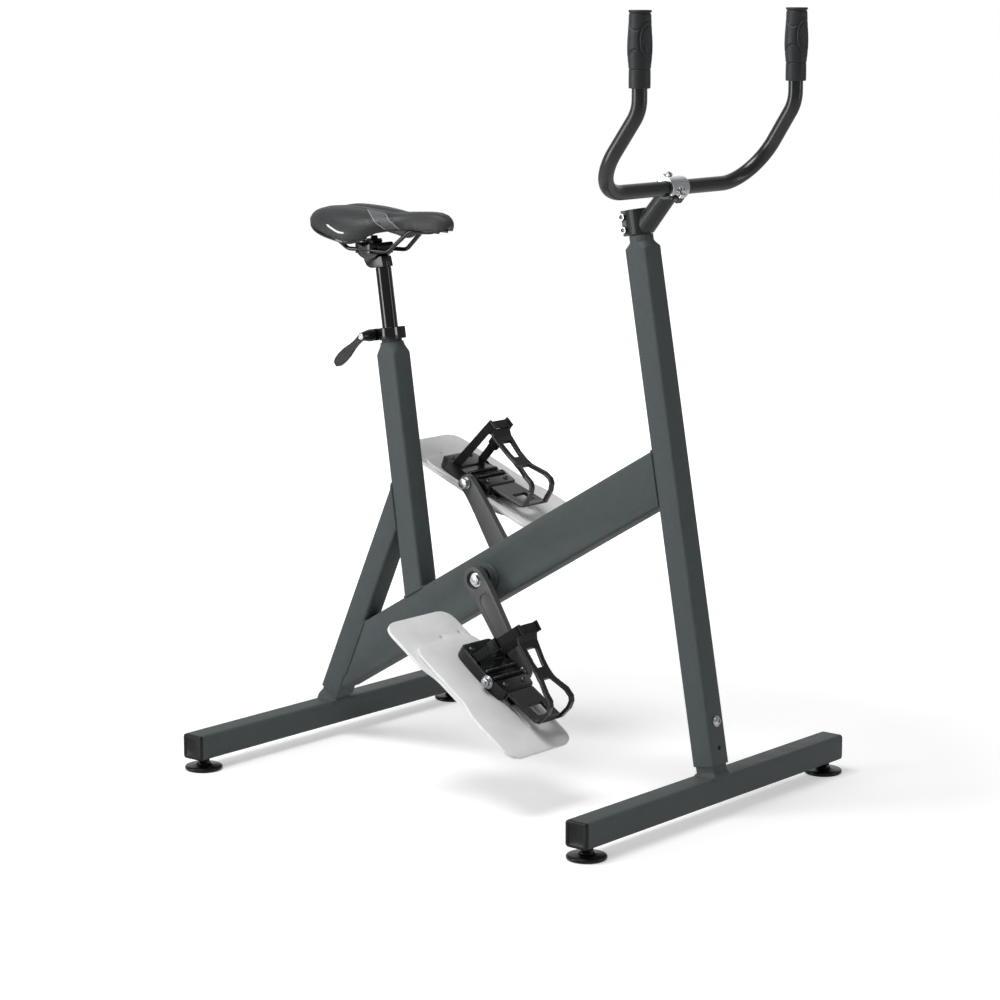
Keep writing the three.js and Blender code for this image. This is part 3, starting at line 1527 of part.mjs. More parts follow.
function addHandlebar() {
  const root = group(bike, [stemAxis.x, 0, stemAxis.z], postLean);
  piece(root, "stem", stem(), satinBlack);
  const [x, z] = pointOn(stemAxis, stemReach);
  const clamp = group(bike, [x, 0, z], stemAxis.lean);
  piece(clamp, "stem_faceplate", faceplate(), polished);
  for (const [name, side] of [["upper", -1], ["lower", 1]]) {
    const bolt = piece(clamp, `faceplate_bolt_${name}`, faceBolt(), stainless);
    bolt.position.x = side * faceBoltOffset;
  }
  const bar = group(bike, [x, 0, z]);
  piece(bar, "handlebar", handlebar(), satinBlack);
  for (const [hand, sign] of [["right", -1], ["left", 1]]) {
    const held = piece(bar, `grip_${hand}`, grip(), gripRubber);
    held.position.set(barForward, sign * barSpread, barTop + gap + gripCap - gripLength);
  }
}

addFoot("front", 1, postOffset, postLean, [postBoltHeight]);
addFoot("rear", -1, braceOffset, braceLean, [postBoltHeight]);
addFrame();
addCranks();
addSeat();
addHandlebar();

export default bike;
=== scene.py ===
# %% [markdown]
# # An aqua bike
#
# An underwater exercise bike is dressed here around its solid model: welded square tubes,
# moulded pedals with toe cages, clear white paddles, a saddle and a bent handlebar.
# Every length below is in millimetres, in the frame of the solid model: +X forward,
# +Y to the rider's left, +Z up, with the origin on the floor between the feet.

import json
import math
import random

import bmesh
import bpy
from mathutils import Matrix, Vector
from mathutils.bvhtree import BVHTree

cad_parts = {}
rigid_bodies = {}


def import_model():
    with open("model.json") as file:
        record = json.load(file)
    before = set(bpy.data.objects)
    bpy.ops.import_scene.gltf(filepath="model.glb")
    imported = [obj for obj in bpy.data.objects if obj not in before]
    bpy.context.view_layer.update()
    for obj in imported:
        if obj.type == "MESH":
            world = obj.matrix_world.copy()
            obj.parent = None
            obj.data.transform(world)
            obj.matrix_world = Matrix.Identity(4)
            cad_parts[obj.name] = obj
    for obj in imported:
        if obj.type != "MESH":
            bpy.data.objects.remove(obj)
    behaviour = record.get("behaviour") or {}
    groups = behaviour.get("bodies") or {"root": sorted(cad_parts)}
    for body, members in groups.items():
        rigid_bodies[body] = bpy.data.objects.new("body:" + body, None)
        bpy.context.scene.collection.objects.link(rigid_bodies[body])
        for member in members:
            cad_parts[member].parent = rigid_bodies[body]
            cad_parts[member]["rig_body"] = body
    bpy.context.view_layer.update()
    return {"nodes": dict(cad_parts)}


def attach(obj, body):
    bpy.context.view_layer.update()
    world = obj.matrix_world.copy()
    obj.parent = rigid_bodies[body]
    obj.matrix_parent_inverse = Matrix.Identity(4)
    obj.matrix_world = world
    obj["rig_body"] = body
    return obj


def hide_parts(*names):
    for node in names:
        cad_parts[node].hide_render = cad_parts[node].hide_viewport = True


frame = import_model()
MM = 0.001
TAU = 2 * math.pi
print(f"solid model: {len(frame['nodes'])} nodes")

# %% [markdown]
# ## Camera
#
# The camera stands where the photograph's stood: in front and to the rider's right,
# looking down by ten degrees through a long lens. A long lens keeps parallel tubes
# nearly parallel, as in a catalogue picture.

# %% Camera
camera_data = bpy.data.cameras.new("camera")
camera_data.lens = 108.23
camera_data.sensor_width = 36
camera = bpy.data.objects.new("camera", camera_data)
camera.location = (2.93024, -3.57686, 1.25124)
camera.rotation_euler = (math.radians(90 - 9.998), 0, math.radians(39.573))
bpy.context.scene.collection.objects.link(camera)
bpy.context.scene.camera = camera
print(f"camera: {camera_data.lens} mm lens, {camera.location.length:.2f} m from the origin")

# %% [markdown]
# ## Sizes
#
# These are the same named sizes as in the solid model, for the pieces that are made
# again here with finer surfaces. The tubes lie in the bike's middle plane, so each is a
# line there, and a bead or a bolt finds its place by where two lines meet.

# %% Named sizes
TUBE_SIDE, TUBE_CORNER, BEAM_DEPTH = 40, 4.5, 80
FOOT_SPAN, FOOT_LENGTH, FOOT_CLEARANCE = 771.6, 657.8, 20
PAD_INSET = 25
CRANK_X, CRANK_Z, CRANK_LENGTH = -36.18, 311.46, 170
CRANK_ANGLE = math.radians(48.5)
PEDAL_TILT = {"right": math.radians(34.5), "left": math.radians(22)}
PEDAL_MIDDLE, PEDAL_SETBACK, PEDAL_LIFT = 115, 2.6, 5.4
SIDES = (("right", -1), ("left", 1))
TILT_X, TILT_Z = -287, 826
BAR_X, BAR_Z = 303.037, 935.983
BAR_RADIUS = 11.1
print(f"sizes: feet {FOOT_SPAN} mm apart, cranks {CRANK_Z} mm up, bar {BAR_Z:.0f} mm up")

# %% Lines in the middle plane


def placed(x, z, lean=0.0, y=0.0):
    """A local frame in the bike's middle plane, leaning forward from upright."""
    return Matrix.Translation((x, y, z)) @ Matrix.Rotation(lean, 4, "Y")


class Line:
    """A line in the middle plane: distances run along it, offsets lie square to it."""

    def __init__(self, x, z, lean):
        self.x, self.z, self.lean = x, z, lean

    def at(self, distance, offset=0.0):
        """The point at a distance along the line and an offset beside it."""
        s, c = math.sin(self.lean), math.cos(self.lean)
        return (self.x + distance * s + offset * c, self.z + distance * c - offset * s)

    def meets(self, offset, other, other_offset):
        """How far along this line, at an offset, it crosses another line at its offset."""
        ax, az = self.at(0, offset)
        bx, bz = other.at(0, other_offset)
        across = math.sin(other.lean) * (bz - az) - math.cos(other.lean) * (bx - ax)
        return across / math.sin(other.lean - self.lean)


POST = Line(FOOT_SPAN / 2 + 2, 60, math.radians(-10))
BRACE = Line(-FOOT_SPAN / 2 + 2.6, 60, math.radians(23.9))
BEAM = Line(CRANK_X, CRANK_Z, math.radians(59.6))
SEAT = Line(*BEAM.at(-173), math.radians(-8.36))
print(f"beam meets the post {POST.meets(0, BEAM, 0):.0f} mm along it")

# %% [markdown]
# ## Node helpers
#
# Every finish is a node tree round one Principled shader. Two small functions are enough
# to write such a tree: `wire` fills a node's inputs, `add` makes a node and wires it.
# Colours are written as the sRGB hex digits a designer would use, and one function turns
# them into the linear light that the shader works in. A picture could be wrapped round
# the pieces instead, but a procedural pattern stays sharp at every distance.

# %% Colours and nodes


def srgb(code):
    """A colour written as six hex digits, as linear light."""
    channels = [int(code[i : i + 2], 16) / 255 for i in (0, 2, 4)]
    linear = [c / 12.92 if c <= 0.04045 else ((c + 0.055) / 1.055) ** 2.4 for c in channels]
    return (*linear, 1.0)


def wire(tree, node, **inputs):
    """Fills inputs, by name or as _number, with a socket's link or with a plain value."""
    for key, value in inputs.items():
        socket = node.inputs[int(key[1:])] if key[0] == "_" else node.inputs[key.replace("_", " ")]
        if isinstance(value, bpy.types.NodeSocket):
            tree.links.new(value, socket)
        else:
            socket.default_value = value


def add(tree, kind, settings=None, **inputs):
    """Adds one node, sets its properties (stops fill a colour ramp) and wires its inputs."""
    made = tree.nodes.new("ShaderNode" + kind)
    for key, value in (settings or {}).items():
        if key != "stops":
            setattr(made, key, value)
            continue
        for (place, code), stop in zip(value, made.color_ramp.elements):
            stop.position, stop.color = place, srgb(code)
    wire(tree, made, **inputs)
    return made


def millimetres(tree, stretch=(1, 1, 1)):
    """Object coordinates in millimetres, so that a pattern is sized as on the real piece."""
    source = add(tree, "TexCoord").outputs["Object"]
    return add(tree, "Mapping", Vector=source, Scale=tuple(s / MM for s in stretch)).outputs["Vector"]


def material(name, slot, rough, metal, specular):
    """A new Principled material, with its node tree and its shader."""
    made = bpy.data.materials.new(name)
    made.use_nodes = True
    shader = made.node_tree.nodes["Principled BSDF"]
    wire(made.node_tree, shader, Roughness=rough, Metallic=metal, Specular_IOR_Level=specular)
    made["slot"] = slot
    return made, made.node_tree, shader


# %% [markdown]
# ## Coats and mouldings
#
# Paint, powder coat and moulded plastic look plain from afar. Close by they have a fleck
# or an orange peel under a millimetre across, and broader clouds where the coat is
# thicker. One noise at each size gives both: together they tint the colour, the broad one
# shifts the roughness and the fine one raises the surface by hundredths of a millimetre.

# %% Coated finishes
CLOUDS = 45  # how many flecks across a cloud is


def coated(name, slot, dark, light, rough, fleck, depth, specular):
    """Paint or moulded plastic, its fleck and its bump's depth in millimetres."""
    made, tree, shader = material(name, slot, rough, 0.0, specular)
    fine_place, broad_place = millimetres(tree), millimetres(tree)
    fine = add(tree, "TexNoise", Vector=fine_place, Scale=1 / fleck, Detail=2).outputs["Fac"]
    broad = add(tree, "TexNoise", Vector=broad_place, Scale=1 / (CLOUDS * fleck), Detail=3).outputs["Fac"]
    both = add(tree, "Math", {"operation": "MULTIPLY_ADD"}, _0=broad, _1=0.35, _2=fine).outputs[0]
    colour = add(tree, "ValToRGB", {"stops": [(0.45, dark), (0.95, light)]}, Fac=both).outputs[0]
    dull = add(tree, "MapRange", Value=broad, From_Min=0.3, From_Max=0.7,
               To_Min=rough - 0.06, To_Max=rough + 0.06).outputs[0]
    raised = add(tree, "Bump", Height=fine, Distance=depth * MM).outputs[0]
    wire(tree, shader, Base_Color=colour, Roughness=dull, Normal=raised)
    return made


# Polyester powder baked on welded steel: a soft sheen over a fine orange peel.
POWDER = coated("anthracite_powder_coat", "powder_coat", "434A4B", "555B5C", 0.56, 0.7, 0.03, 0.2)
# Sprayed satin black on cast and forged alloy: dark, with broad soft highlights.
SATIN = coated("satin_black_paint", "satin_black", "101213", "1A1D1F", 0.34, 1.0, 0.008, 0.5)
# The bar's paint is a little smoother, so that a soft line of light runs along the tube.
BAR_PAINT = coated("satin_bar_paint", "satin_black", "131517", "1B1E20", 0.3, 1.5, 0.004, 0.6)
# Lacquered black on the saddle clamp: its flat side mirrors the bright panel as grey.
CLAMP = coated("gloss_clamp_paint", "satin_black", "0B0C0D", "141617", 0.2, 0.8, 0.008, 0.5)
# Polished black on the seat pin and its collar: crisp bright bands on deep black.
GLOSS = coated("gloss_black_coat", "gloss_black", "060708", "0D0E10", 0.12, 1.2, 0.004, 0.6)
# Painted steel wire of the saddle's rails.
RAIL = coated("black_painted_rail", "satin_black", "0A0B0C", "121314", 0.18, 0.8, 0.01, 0.5)
# Glass-filled nylon from a polished mould: black with sharp light along each edge.
PLASTIC = coated("black_moulded_nylon", "black_plastic", "0A0B0C", "121416", 0.26, 1.0, 0.01, 0.5)
# Polypropylene of the foot pads and plugs, softer and a little duller.
PAD_PLASTIC = coated("black_polypropylene", "black_plastic", "08090A", "111314", 0.3, 0.8, 0.03, 0.25)
# Sandblasted and anodised cranks: an even dark grey without a mirror in it.
CRANK = coated("dark_anodised_alloy", "crank_alloy", "454545", "565656", 0.42, 0.5, 0.03, 0.35)
# Soft moulded rubber: dull, so that only its grooves draw lines.
RUBBER = coated("grip_rubber", "grip_rubber", "25282A", "323537", 0.5, 0.6, 0.04, 0.35)
# The saddle's piping, its pale thread and its white print.
PIPING = coated("vinyl_piping", "saddle_cover", "242627", "303233", 0.45, 0.6, 0.03, 0.4)
STITCH = coated("pale_stitching", "saddle_cover", "A6A8A9", "C0C2C3", 0.6, 0.4, 0.05, 0.3)
PRINT = coated("white_print", "saddle_cover", "DADCDD", "EEEFF0", 0.5, 0.8, 0.02, 0.3)

# %% [markdown]
# ## Bright metal
#
# Turned and brushed metal shows fine lines along the way the tool went. The same noise,
# stretched along one axis until it is a set of lines, tints the metal and cuts shallow
# scratches, and a broad noise smears the polish.

# %% Drawn metal
ALONG_Z, ALONG_Y = (1, 1, 0.04), (1, 0.05, 1)


def drawn_metal(name, slot, dark, light, rough, line, depth, stretch=ALONG_Z):
    """Bright metal, its lines' width and depth in millimetres."""
    made, tree, shader = material(name, slot, rough, 1.0, 0.5)
    line_place, smear_place = millimetres(tree, stretch), millimetres(tree)
    lines = add(tree, "TexNoise", Vector=line_place, Scale=1 / line, Detail=3).outputs["Fac"]
    smear = add(tree, "TexNoise", Vector=smear_place, Scale=1 / (30 * line), Detail=2).outputs["Fac"]
    colour = add(tree, "ValToRGB", {"stops": [(0.3, dark), (0.7, light)]}, Fac=lines).outputs[0]
    dull = add(tree, "MapRange", Value=smear, From_Min=0.3, From_Max=0.7,
               To_Min=rough * 0.7, To_Max=rough * 1.4).outputs[0]
    raised = add(tree, "Bump", Height=lines, Distance=depth * MM).outputs[0]
    wire(tree, shader, Base_Color=colour, Roughness=dull, Normal=raised)
    return made


# Turned stainless bolts and axles.
STEEL = drawn_metal("stainless_steel", "stainless", "9DA1A4", "D3D6D8", 0.26, 0.35, 0.01)
# Black zinc plating: dark, with the steel's shine still in it.
ZINC = drawn_metal("black_zinc_steel", "stainless", "1A1C1D", "2E3032", 0.4, 0.5, 0.01)
# Plain grey plating on the pedals' small screws.
GREY_PLATE = drawn_metal("grey_plated_screw", "stainless", "55585A", "77797B", 0.42, 0.5, 0.02)
# Aluminium buffed along the bar.
ALLOY = drawn_metal("polished_alloy", "polished", "C3C6C8", "E8EAEB", 0.16, 0.6, 0.006, ALONG_Y)

# %% [markdown]
# ## Webbing, vinyl and milky plastic
#
# Nylon webbing is a weave: two waves at a slant, multiplied, give its ribs. The real
# threads are finer than the picture can show, so they are drawn coarser: ribs 0.5 mm
# apart, crossed every 1.3 mm. The saddle's vinyl has the cells of a pressed leather
# grain, 1.2 mm across, in creases of 5 mm. Two values stored on its mesh, the distances
# into the grey band and into the gloss skirt, colour them with crisp edges. The paddles
# are polyethylene, which scatters light inside and lets a little through, so they stay
# pale even in shade.

# %% Webbing


def webbing_weave():
    """Woven nylon: two waves at a slant make the ribs of the weave."""
    made, tree, shader = material("nylon_webbing", "webbing", 0.8, 0, 0.25)
    place = millimetres(tree)
    warp = add(tree, "TexWave", {"bands_direction": "Y"}, Vector=place, Scale=0.62).outputs["Fac"]
    weft = add(tree, "TexWave", {"bands_direction": "DIAGONAL"}, Vector=place, Scale=0.5).outputs["Fac"]
    cloth = add(tree, "Math", {"operation": "MULTIPLY"}, _0=warp, _1=weft).outputs[0]
    colour = add(tree, "ValToRGB", {"stops": [(0.0, "0A0B0C"), (0.8, "191B1D")]}, Fac=cloth).outputs[0]
    raised = add(tree, "Bump", Height=cloth, Distance=0.2 * MM).outputs[0]
    wire(tree, shader, Base_Color=colour, Normal=raised, Sheen_Weight=0.06)
    return made


WEBBING = webbing_weave()

# %% Saddle vinyl


def saddle_vinyl():
    """Dark vinyl with a leather grain, a grey band across each side and a gloss skirt."""
    made, tree, shader = material("saddle_vinyl", "saddle_cover", 0.5, 0, 0.4)
    cell_place, crease_place, mottle_place = (millimetres(tree) for _ in range(3))
    cells = add(tree, "TexVoronoi", {"feature": "F1"}, Vector=cell_place, Scale=0.85).outputs["Distance"]
    creases = add(tree, "TexNoise", Vector=crease_place, Scale=1 / 5, Detail=3).outputs["Fac"]
    mottle = add(tree, "TexNoise", Vector=mottle_place, Scale=1 / 60, Detail=3).outputs["Fac"]
    skin = add(tree, "Math", {"operation": "MULTIPLY_ADD"}, _0=creases, _1=0.7, _2=cells).outputs[0]
    body = add(tree, "ValToRGB", {"stops": [(0.3, "2B2D2E"), (0.7, "343637")]}, Fac=mottle).outputs[0]
    inside = add(tree, "Attribute", {"attribute_name": "band"}).outputs["Fac"]
    tint = add(tree, "MapRange", Value=inside, From_Min=-0.4, From_Max=0.4).outputs[0]
    grey = add(tree, "Mix", {"data_type": "RGBA"}, _0=tint, _6=body, _7=srgb("5A5C5E")).outputs[2]
    under = add(tree, "Attribute", {"attribute_name": "lip"}).outputs["Fac"]
    edge = add(tree, "MapRange", Value=under, From_Min=-0.3, From_Max=0.3).outputs[0]
    skirt = add(tree, "Mix", {"data_type": "RGBA"}, _0=edge, _6=grey, _7=srgb("0B0C0D")).outputs[2]
    matt = add(tree, "MapRange", Value=creases, From_Min=0.3, From_Max=0.7,
               To_Min=0.42, To_Max=0.58).outputs[0]
    dull = add(tree, "Mix", {"data_type": "FLOAT"}, _0=edge, _2=matt, _3=0.22).outputs[0]
    raised = add(tree, "Bump", Height=skin, Distance=0.12 * MM).outputs[0]
    wire(tree, shader, Base_Color=skirt, Roughness=dull, Normal=raised)
    return made


VINYL = saddle_vinyl()

# %% Milky plastic


def paddle_plastic():
    """Milky polyethylene that lets some light through."""
    made, tree, shader = material("milky_polyethylene", "paddle_plastic", 0.32, 0, 0.5)
    cloud_place, ripple_place = millimetres(tree), millimetres(tree)
    cloud = add(tree, "TexNoise", Vector=cloud_place, Scale=1 / 40, Detail=3).outputs["Fac"]
    ripple = add(tree, "TexNoise", Vector=ripple_place, Scale=1 / 3, Detail=2).outputs["Fac"]
    colour = add(tree, "ValToRGB", {"stops": [(0.3, "EEEFEE"), (0.7, "F7F8F7")]}, Fac=cloud).outputs[0]
    raised = add(tree, "Bump", Height=ripple, Distance=0.03 * MM).outputs[0]
    wire(tree, shader, Base_Color=colour, Normal=raised, Transmission_Weight=0.06, IOR=1.3,
         Subsurface_Weight=0.25, Subsurface_Radius=(0.01, 0.01, 0.01))
    return made


MILKY = paddle_plastic()
print("finishes:", ", ".join(sorted(m.name for m in bpy.data.materials)))

# %% [markdown]
# ## Making pieces
#
# Forms are bmeshes in millimetres, as the pieces were measured. `piece` turns a form into
# an object in metres with its place in its mesh, so that the object itself stays at the
# origin, unturned. The piece then rides on its body and stands for the solids it covers.
# No mould or saw leaves an edge perfectly sharp, so a small bevel rounds the edges. It is
# a modifier, because a modifier finds the sharp edges by their angle, and it is applied
# at once.

# %% Objects from forms
SHARP = math.radians(30)


def baked(piece_object):
    """Applies a piece's modifiers to its mesh."""
    graph = bpy.context.evaluated_depsgraph_get()
    mesh = bpy.data.meshes.new_from_object(piece_object.evaluated_get(graph))
    piece_object.modifiers.clear()
    piece_object.data = mesh
    return piece_object


def round_edges(made, width):
    """Rounds every edge that is sharper than the limit."""
    modifier = made.modifiers.new("round", "BEVEL")
    modifier.width = width * MM
    modifier.segments = 3
    modifier.limit_method = "ANGLE"
    modifier.angle_limit = SHARP
    modifier.harden_normals = False
    return baked(made)


def piece(name, body, finish, form, place=None, stands_for=(), edge=0.0, smooth=40):
    """Makes an object of a form, with its place, its finish, its body and its solids."""
    mesh = bpy.data.meshes.new(name)
    form.normal_update()
    form.to_mesh(mesh)
    form.free()
    mesh.transform(Matrix.Scale(MM, 4) @ (place or Matrix()))
    made = bpy.data.objects.new(name, mesh)
    bpy.context.scene.collection.objects.link(made)
    mesh.materials.append(finish)
    if edge:
        round_edges(made, edge)
    made.data.shade_smooth()
    made.data.set_sharp_from_angle(angle=math.radians(smooth))
    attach(made, body)
    if stands_for:
        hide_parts(*stands_for)
    print(f"{name}: {len(made.data.polygons)} faces, on {body}")
    return made


# %% [markdown]
# ## Rings, turnings and plates
#
# Most pieces of the bike are one of three simple forms. A section that changes along a
# line is a row of rings, each extruded from the last and laid in its place. Bridging
# finished rings would do too, but it may turn one ring against the next. A bolt or a pad
# comes from a lathe or a round mould, so its profile is spun round an axis. A plate is
# one flat face, extruded.

# %% Rings extruded one to the next


def skinned(rings, closed=False, caps=True):
    """Skins rings of equal point counts, in order, and fills the two ends."""
    form = bmesh.new()
    verts = [form.verts.new(point) for point in rings[0]]
    first = [form.edges.new(pair) for pair in zip(verts, verts[1:] + verts[:1])]
    edges = first
    for ring in rings[1:] + rings[:1] * closed:
        grown = bmesh.ops.extrude_edge_only(form, edges=edges)["geom"]
        edges = [item for item in grown if isinstance(item, bmesh.types.BMEdge)]
        verts = [item for item in grown if isinstance(item, bmesh.types.BMVert)]
        for vert, point in zip(verts, ring):
            vert.co = point
    if closed:
        bmesh.ops.remove_doubles(form, verts=form.verts, dist=1e-4)
    elif caps:
        bmesh.ops.edgeloop_fill(form, edges=first + edges)
    bmesh.ops.recalc_face_normals(form, faces=form.faces)
    return form


# %% Turned forms and plates


def turned(profile, segments=64):
    """A form turned round Z from [radius, height] points that start and end on the axis
    or close on themselves."""
    form = bmesh.new()
    verts = [form.verts.new((radius, 0, height)) for radius, height in profile]
    edges = [form.edges.new(pair) for pair in zip(verts, verts[1:])]
    bmesh.ops.spin(form, geom=verts + edges, cent=(0, 0, 0), axis=(0, 0, 1), angle=TAU,
                   steps=segments, use_merge=True)
    bmesh.ops.remove_doubles(form, verts=form.verts, dist=1e-4)
    bmesh.ops.recalc_face_normals(form, faces=form.faces)
    return form


def slab(outline, low, high):
    """A flat plate: one face of [x, y] points at the low level, extruded to the high one."""
    form = bmesh.new()
    bottom = form.faces.new([form.verts.new((x, y, low)) for x, y in outline])
    grown = bmesh.ops.extrude_face_region(form, geom=[bottom])["geom"]
    top = [item for item in grown if isinstance(item, bmesh.types.BMVert)]
    bmesh.ops.translate(form, verts=top, vec=(0, 0, high - low))
    bmesh.ops.recalc_face_normals(form, faces=form.faces)
    return form


# %% [markdown]
# ## Outlines and bent lines
#
# Outlines are short lists of measured corners. A corner is rounded before the form is
# made, where a bevel on the finished form would round the other edges too. A bent tube is
# drawn as the bender sets it: straight runs between corners, each with its own radius.

# %% Rounded outlines
CORNER_STEPS = 6


def rounded(width, depth, corner, level=0.0, steps=CORNER_STEPS):
    """A rounded rectangle as a ring of points."""
    x, y = width / 2 - corner, depth / 2 - corner
    points = []
    for quarter, (cx, cy) in enumerate(((x, y), (-x, y), (-x, -y), (x, -y))):
        for k in range(steps + 1):
            angle = (quarter + k / steps) * math.pi / 2
            points.append((cx + corner * math.cos(angle), cy + corner * math.sin(angle), level))
    return points


def rounded_flat(width, depth, corner):
    """The same rounded rectangle as [x, y] points."""
    return [(x, y) for x, y, _ in rounded(width, depth, corner)]


def stacked(rings):
    """Skins rounded rectangles given as (width, depth, corner, level)."""
    return skinned([rounded(*ring, 8) for ring in rings])


def disc(radius, sides=32):
    """A circle as [x, y] points."""
    return [(radius * math.cos(i * TAU / sides), radius * math.sin(i * TAU / sides)) for i in range(sides)]


def fillet(points, radius, steps=4):
    """Rounds the inner corners of an open outline of [x, y] points."""
    out = [points[0]]
    for before, here, after in zip(points, points[1:], points[2:]):
        a, b = Vector(before) - Vector(here), Vector(after) - Vector(here)
        reach = min(radius, a.length * 0.45, b.length * 0.45)
        start, end = Vector(here) + a.normalized() * reach, Vector(here) + b.normalized() * reach
        for k in range(steps + 1):
            t = k / steps
            out.append(tuple((1 - t) ** 2 * start + 2 * t * (1 - t) * Vector(here) + t * t * end))
    out.append(points[-1])
    return out


# %% Bent lines and sections carried along them


def bent_line(corners, radii, step=math.radians(4)):
    """Points of a line that bends round each inner corner with its own radius."""
    corners = [Vector(c) for c in corners]
    points = [corners[0]]
    for i, radius in enumerate(radii):
        a = (corners[i + 1] - corners[i]).normalized()
        b = (corners[i + 2] - corners[i + 1]).normalized()
        turn = a.angle(b)
        inward = (b - a * math.cos(turn)).normalized()
        start = corners[i + 1] - a * radius * math.tan(turn / 2)
        count = max(2, round(turn / step))
        for k in range(count + 1):
            angle = turn * k / count
            points.append(start + a * radius * math.sin(angle) + inward * radius * (1 - math.cos(angle)))
    points.append(corners[-1])
    return points


def swept(points, section, closed=False):
    """Carries a section, a list of [across, up] or a function of the station, along points."""
    points = [Vector(p) for p in points]
    count = len(points)
    rings = []
    last = None
    for i, point in enumerate(points):
        before = points[i - 1] if i or closed else point
        after = points[(i + 1) % count] if i + 1 < count or closed else point
        along = (after - before).normalized()
        if last is None:
            side = along.cross(Vector((0, 0, 1)))
            if side.length < 1e-3:
                side = along.cross(Vector((0, 1, 0)))
            side.normalize()
        else:
            side = (last - along * last.dot(along)).normalized()
        last = side
        top = side.cross(along)
        shape = section(i) if callable(section) else section
        rings.append([point + side * a + top * b for a, b in shape])
    return skinned(rings, closed=closed)


# %% [markdown]
# ## Cutting, joining and softening
#
# A slot or a bore is a tool of its own shape, taken away with a Boolean, much as a cutter
# would do it. A casting is the opposite: its parts flow into each other, so overlapping
# forms are remeshed into one skin of small squares, and a smoothing pass melts every
# corner by the same small amount.

# %% Modifiers on forms


def modified(form, *steps):
    """Runs a form through modifiers, each a kind with its settings."""
    mesh = bpy.data.meshes.new("work")
    form.to_mesh(mesh)
    form.free()
    work = bpy.data.objects.new("work", mesh)
    bpy.context.scene.collection.objects.link(work)
    for kind, settings in steps:
        modifier = work.modifiers.new("step", kind)
        for key, value in settings.items():
            setattr(modifier, key, value)
    graph = bpy.context.evaluated_depsgraph_get()
    out = bmesh.new()
    out.from_mesh(work.evaluated_get(graph).to_mesh())
    bpy.data.objects.remove(work)
    return out


def carved(form, *tools, operation="DIFFERENCE"):
    """Cuts closed forms out of a closed form."""
    others, steps = [], []
    for tool in tools:
        mesh = bpy.data.meshes.new("tool")
        tool.normal_update()
        tool.to_mesh(mesh)
        tool.free()
        other = bpy.data.objects.new("tool", mesh)
        bpy.context.scene.collection.objects.link(other)
        others.append(other)
        steps.append(("BOOLEAN", {"operation": operation, "solver": "EXACT", "object": other}))
    out = modified(form, *steps)
    for other in others:
        bpy.data.objects.remove(other)
    bmesh.ops.dissolve_limit(out, angle_limit=math.radians(0.5), verts=out.verts, edges=out.edges)
    return out


def melted(form, voxel, passes):
    """Joins overlapping closed forms into one skin with softened corners."""
    return modified(form, ("REMESH", {"mode": "VOXEL", "voxel_size": voxel}),
                    ("SMOOTH", {"factor": 0.5, "iterations": passes}))


def joined(*forms):
    """Puts forms into one, as loose shells."""
    out = bmesh.new()
    for form in forms:
        mesh = bpy.data.meshes.new("part")
        form.to_mesh(mesh)
        form.free()
        out.from_mesh(mesh)
        bpy.data.meshes.remove(mesh)
    return out


def moved(form, place):
    """Moves a whole form."""
    form.transform(place)
    return form


# %% [markdown]
# ## Pieces from the solid model
#
# Where a solid already has the right shape, it is copied and finished: its loose
# triangles are merged, the flat ones are joined again, and the edges get their rounding.
# `dressed` keeps the flat faces crisp, as on a sawn tube or a bolt. `moulded` softens
# everything, as on a casting.

# %% Copies of solids
TO_Y = Matrix.Rotation(math.radians(90), 4, "X")
BODY_OF = {name: solid["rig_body"] for name, solid in frame["nodes"].items()}


def facing(sign):
    """Turns a form made along Z so that it points to +Y or to -Y."""
    return Matrix.Rotation(math.radians(-90 * sign), 4, "X")


def copied(node):
    """A node's mesh as a form in millimetres, its flat facets joined."""
    form = bmesh.new()
    form.from_mesh(frame["nodes"][node].data)
    form.transform(Matrix.Scale(1 / MM, 4))
    bmesh.ops.remove_doubles(form, verts=form.verts, dist=0.01)
    bmesh.ops.dissolve_limit(form, angle_limit=math.radians(0.5), verts=form.verts, edges=form.edges)
    return form


def dressed(node, finish, edge=0.5, smooth=35):
    """A rigid node again, with its edges rounded and its curved sides smooth."""
    return piece(node + "_skin", BODY_OF[node], finish, copied(node), None, (node,), edge, smooth)


def moulded(node, finish, voxel=0.9, passes=8):
    """A cast or moulded node again, every edge and joint softened by one small radius."""
    made = piece(node + "_skin", BODY_OF[node], finish, copied(node), None, (node,))
    remesh = made.modifiers.new("remesh", "REMESH")
    remesh.mode = "VOXEL"
    remesh.voxel_size = voxel * MM
    soften = made.modifiers.new("soften", "SMOOTH")
    soften.factor, soften.iterations = 0.5, passes
    baked(made)
    made.data.shade_smooth()
    return made


# %% [markdown]
# ## Frame tubes and their welds
#
# The frame is square steel tube, sawn, welded and powder coated. The straight tubes are
# copies of the solid model with rounded edges. On the real bike the front post and the
# seat tube are pressed round at the top. Sculpting could do that, but rings that go from
# a rounded square to a circle in smooth steps are exact, so the upper ends are such rings.

# %% Straight tubes
for tube in ("front_foot", "rear_foot", "rear_brace", "main_beam"):
    dressed(tube, POWDER, 0.35)
dressed("bottom_bracket_shell", POWDER, 0.4)

# %% Tubes with a pressed neck
PRESS_STEPS = 12


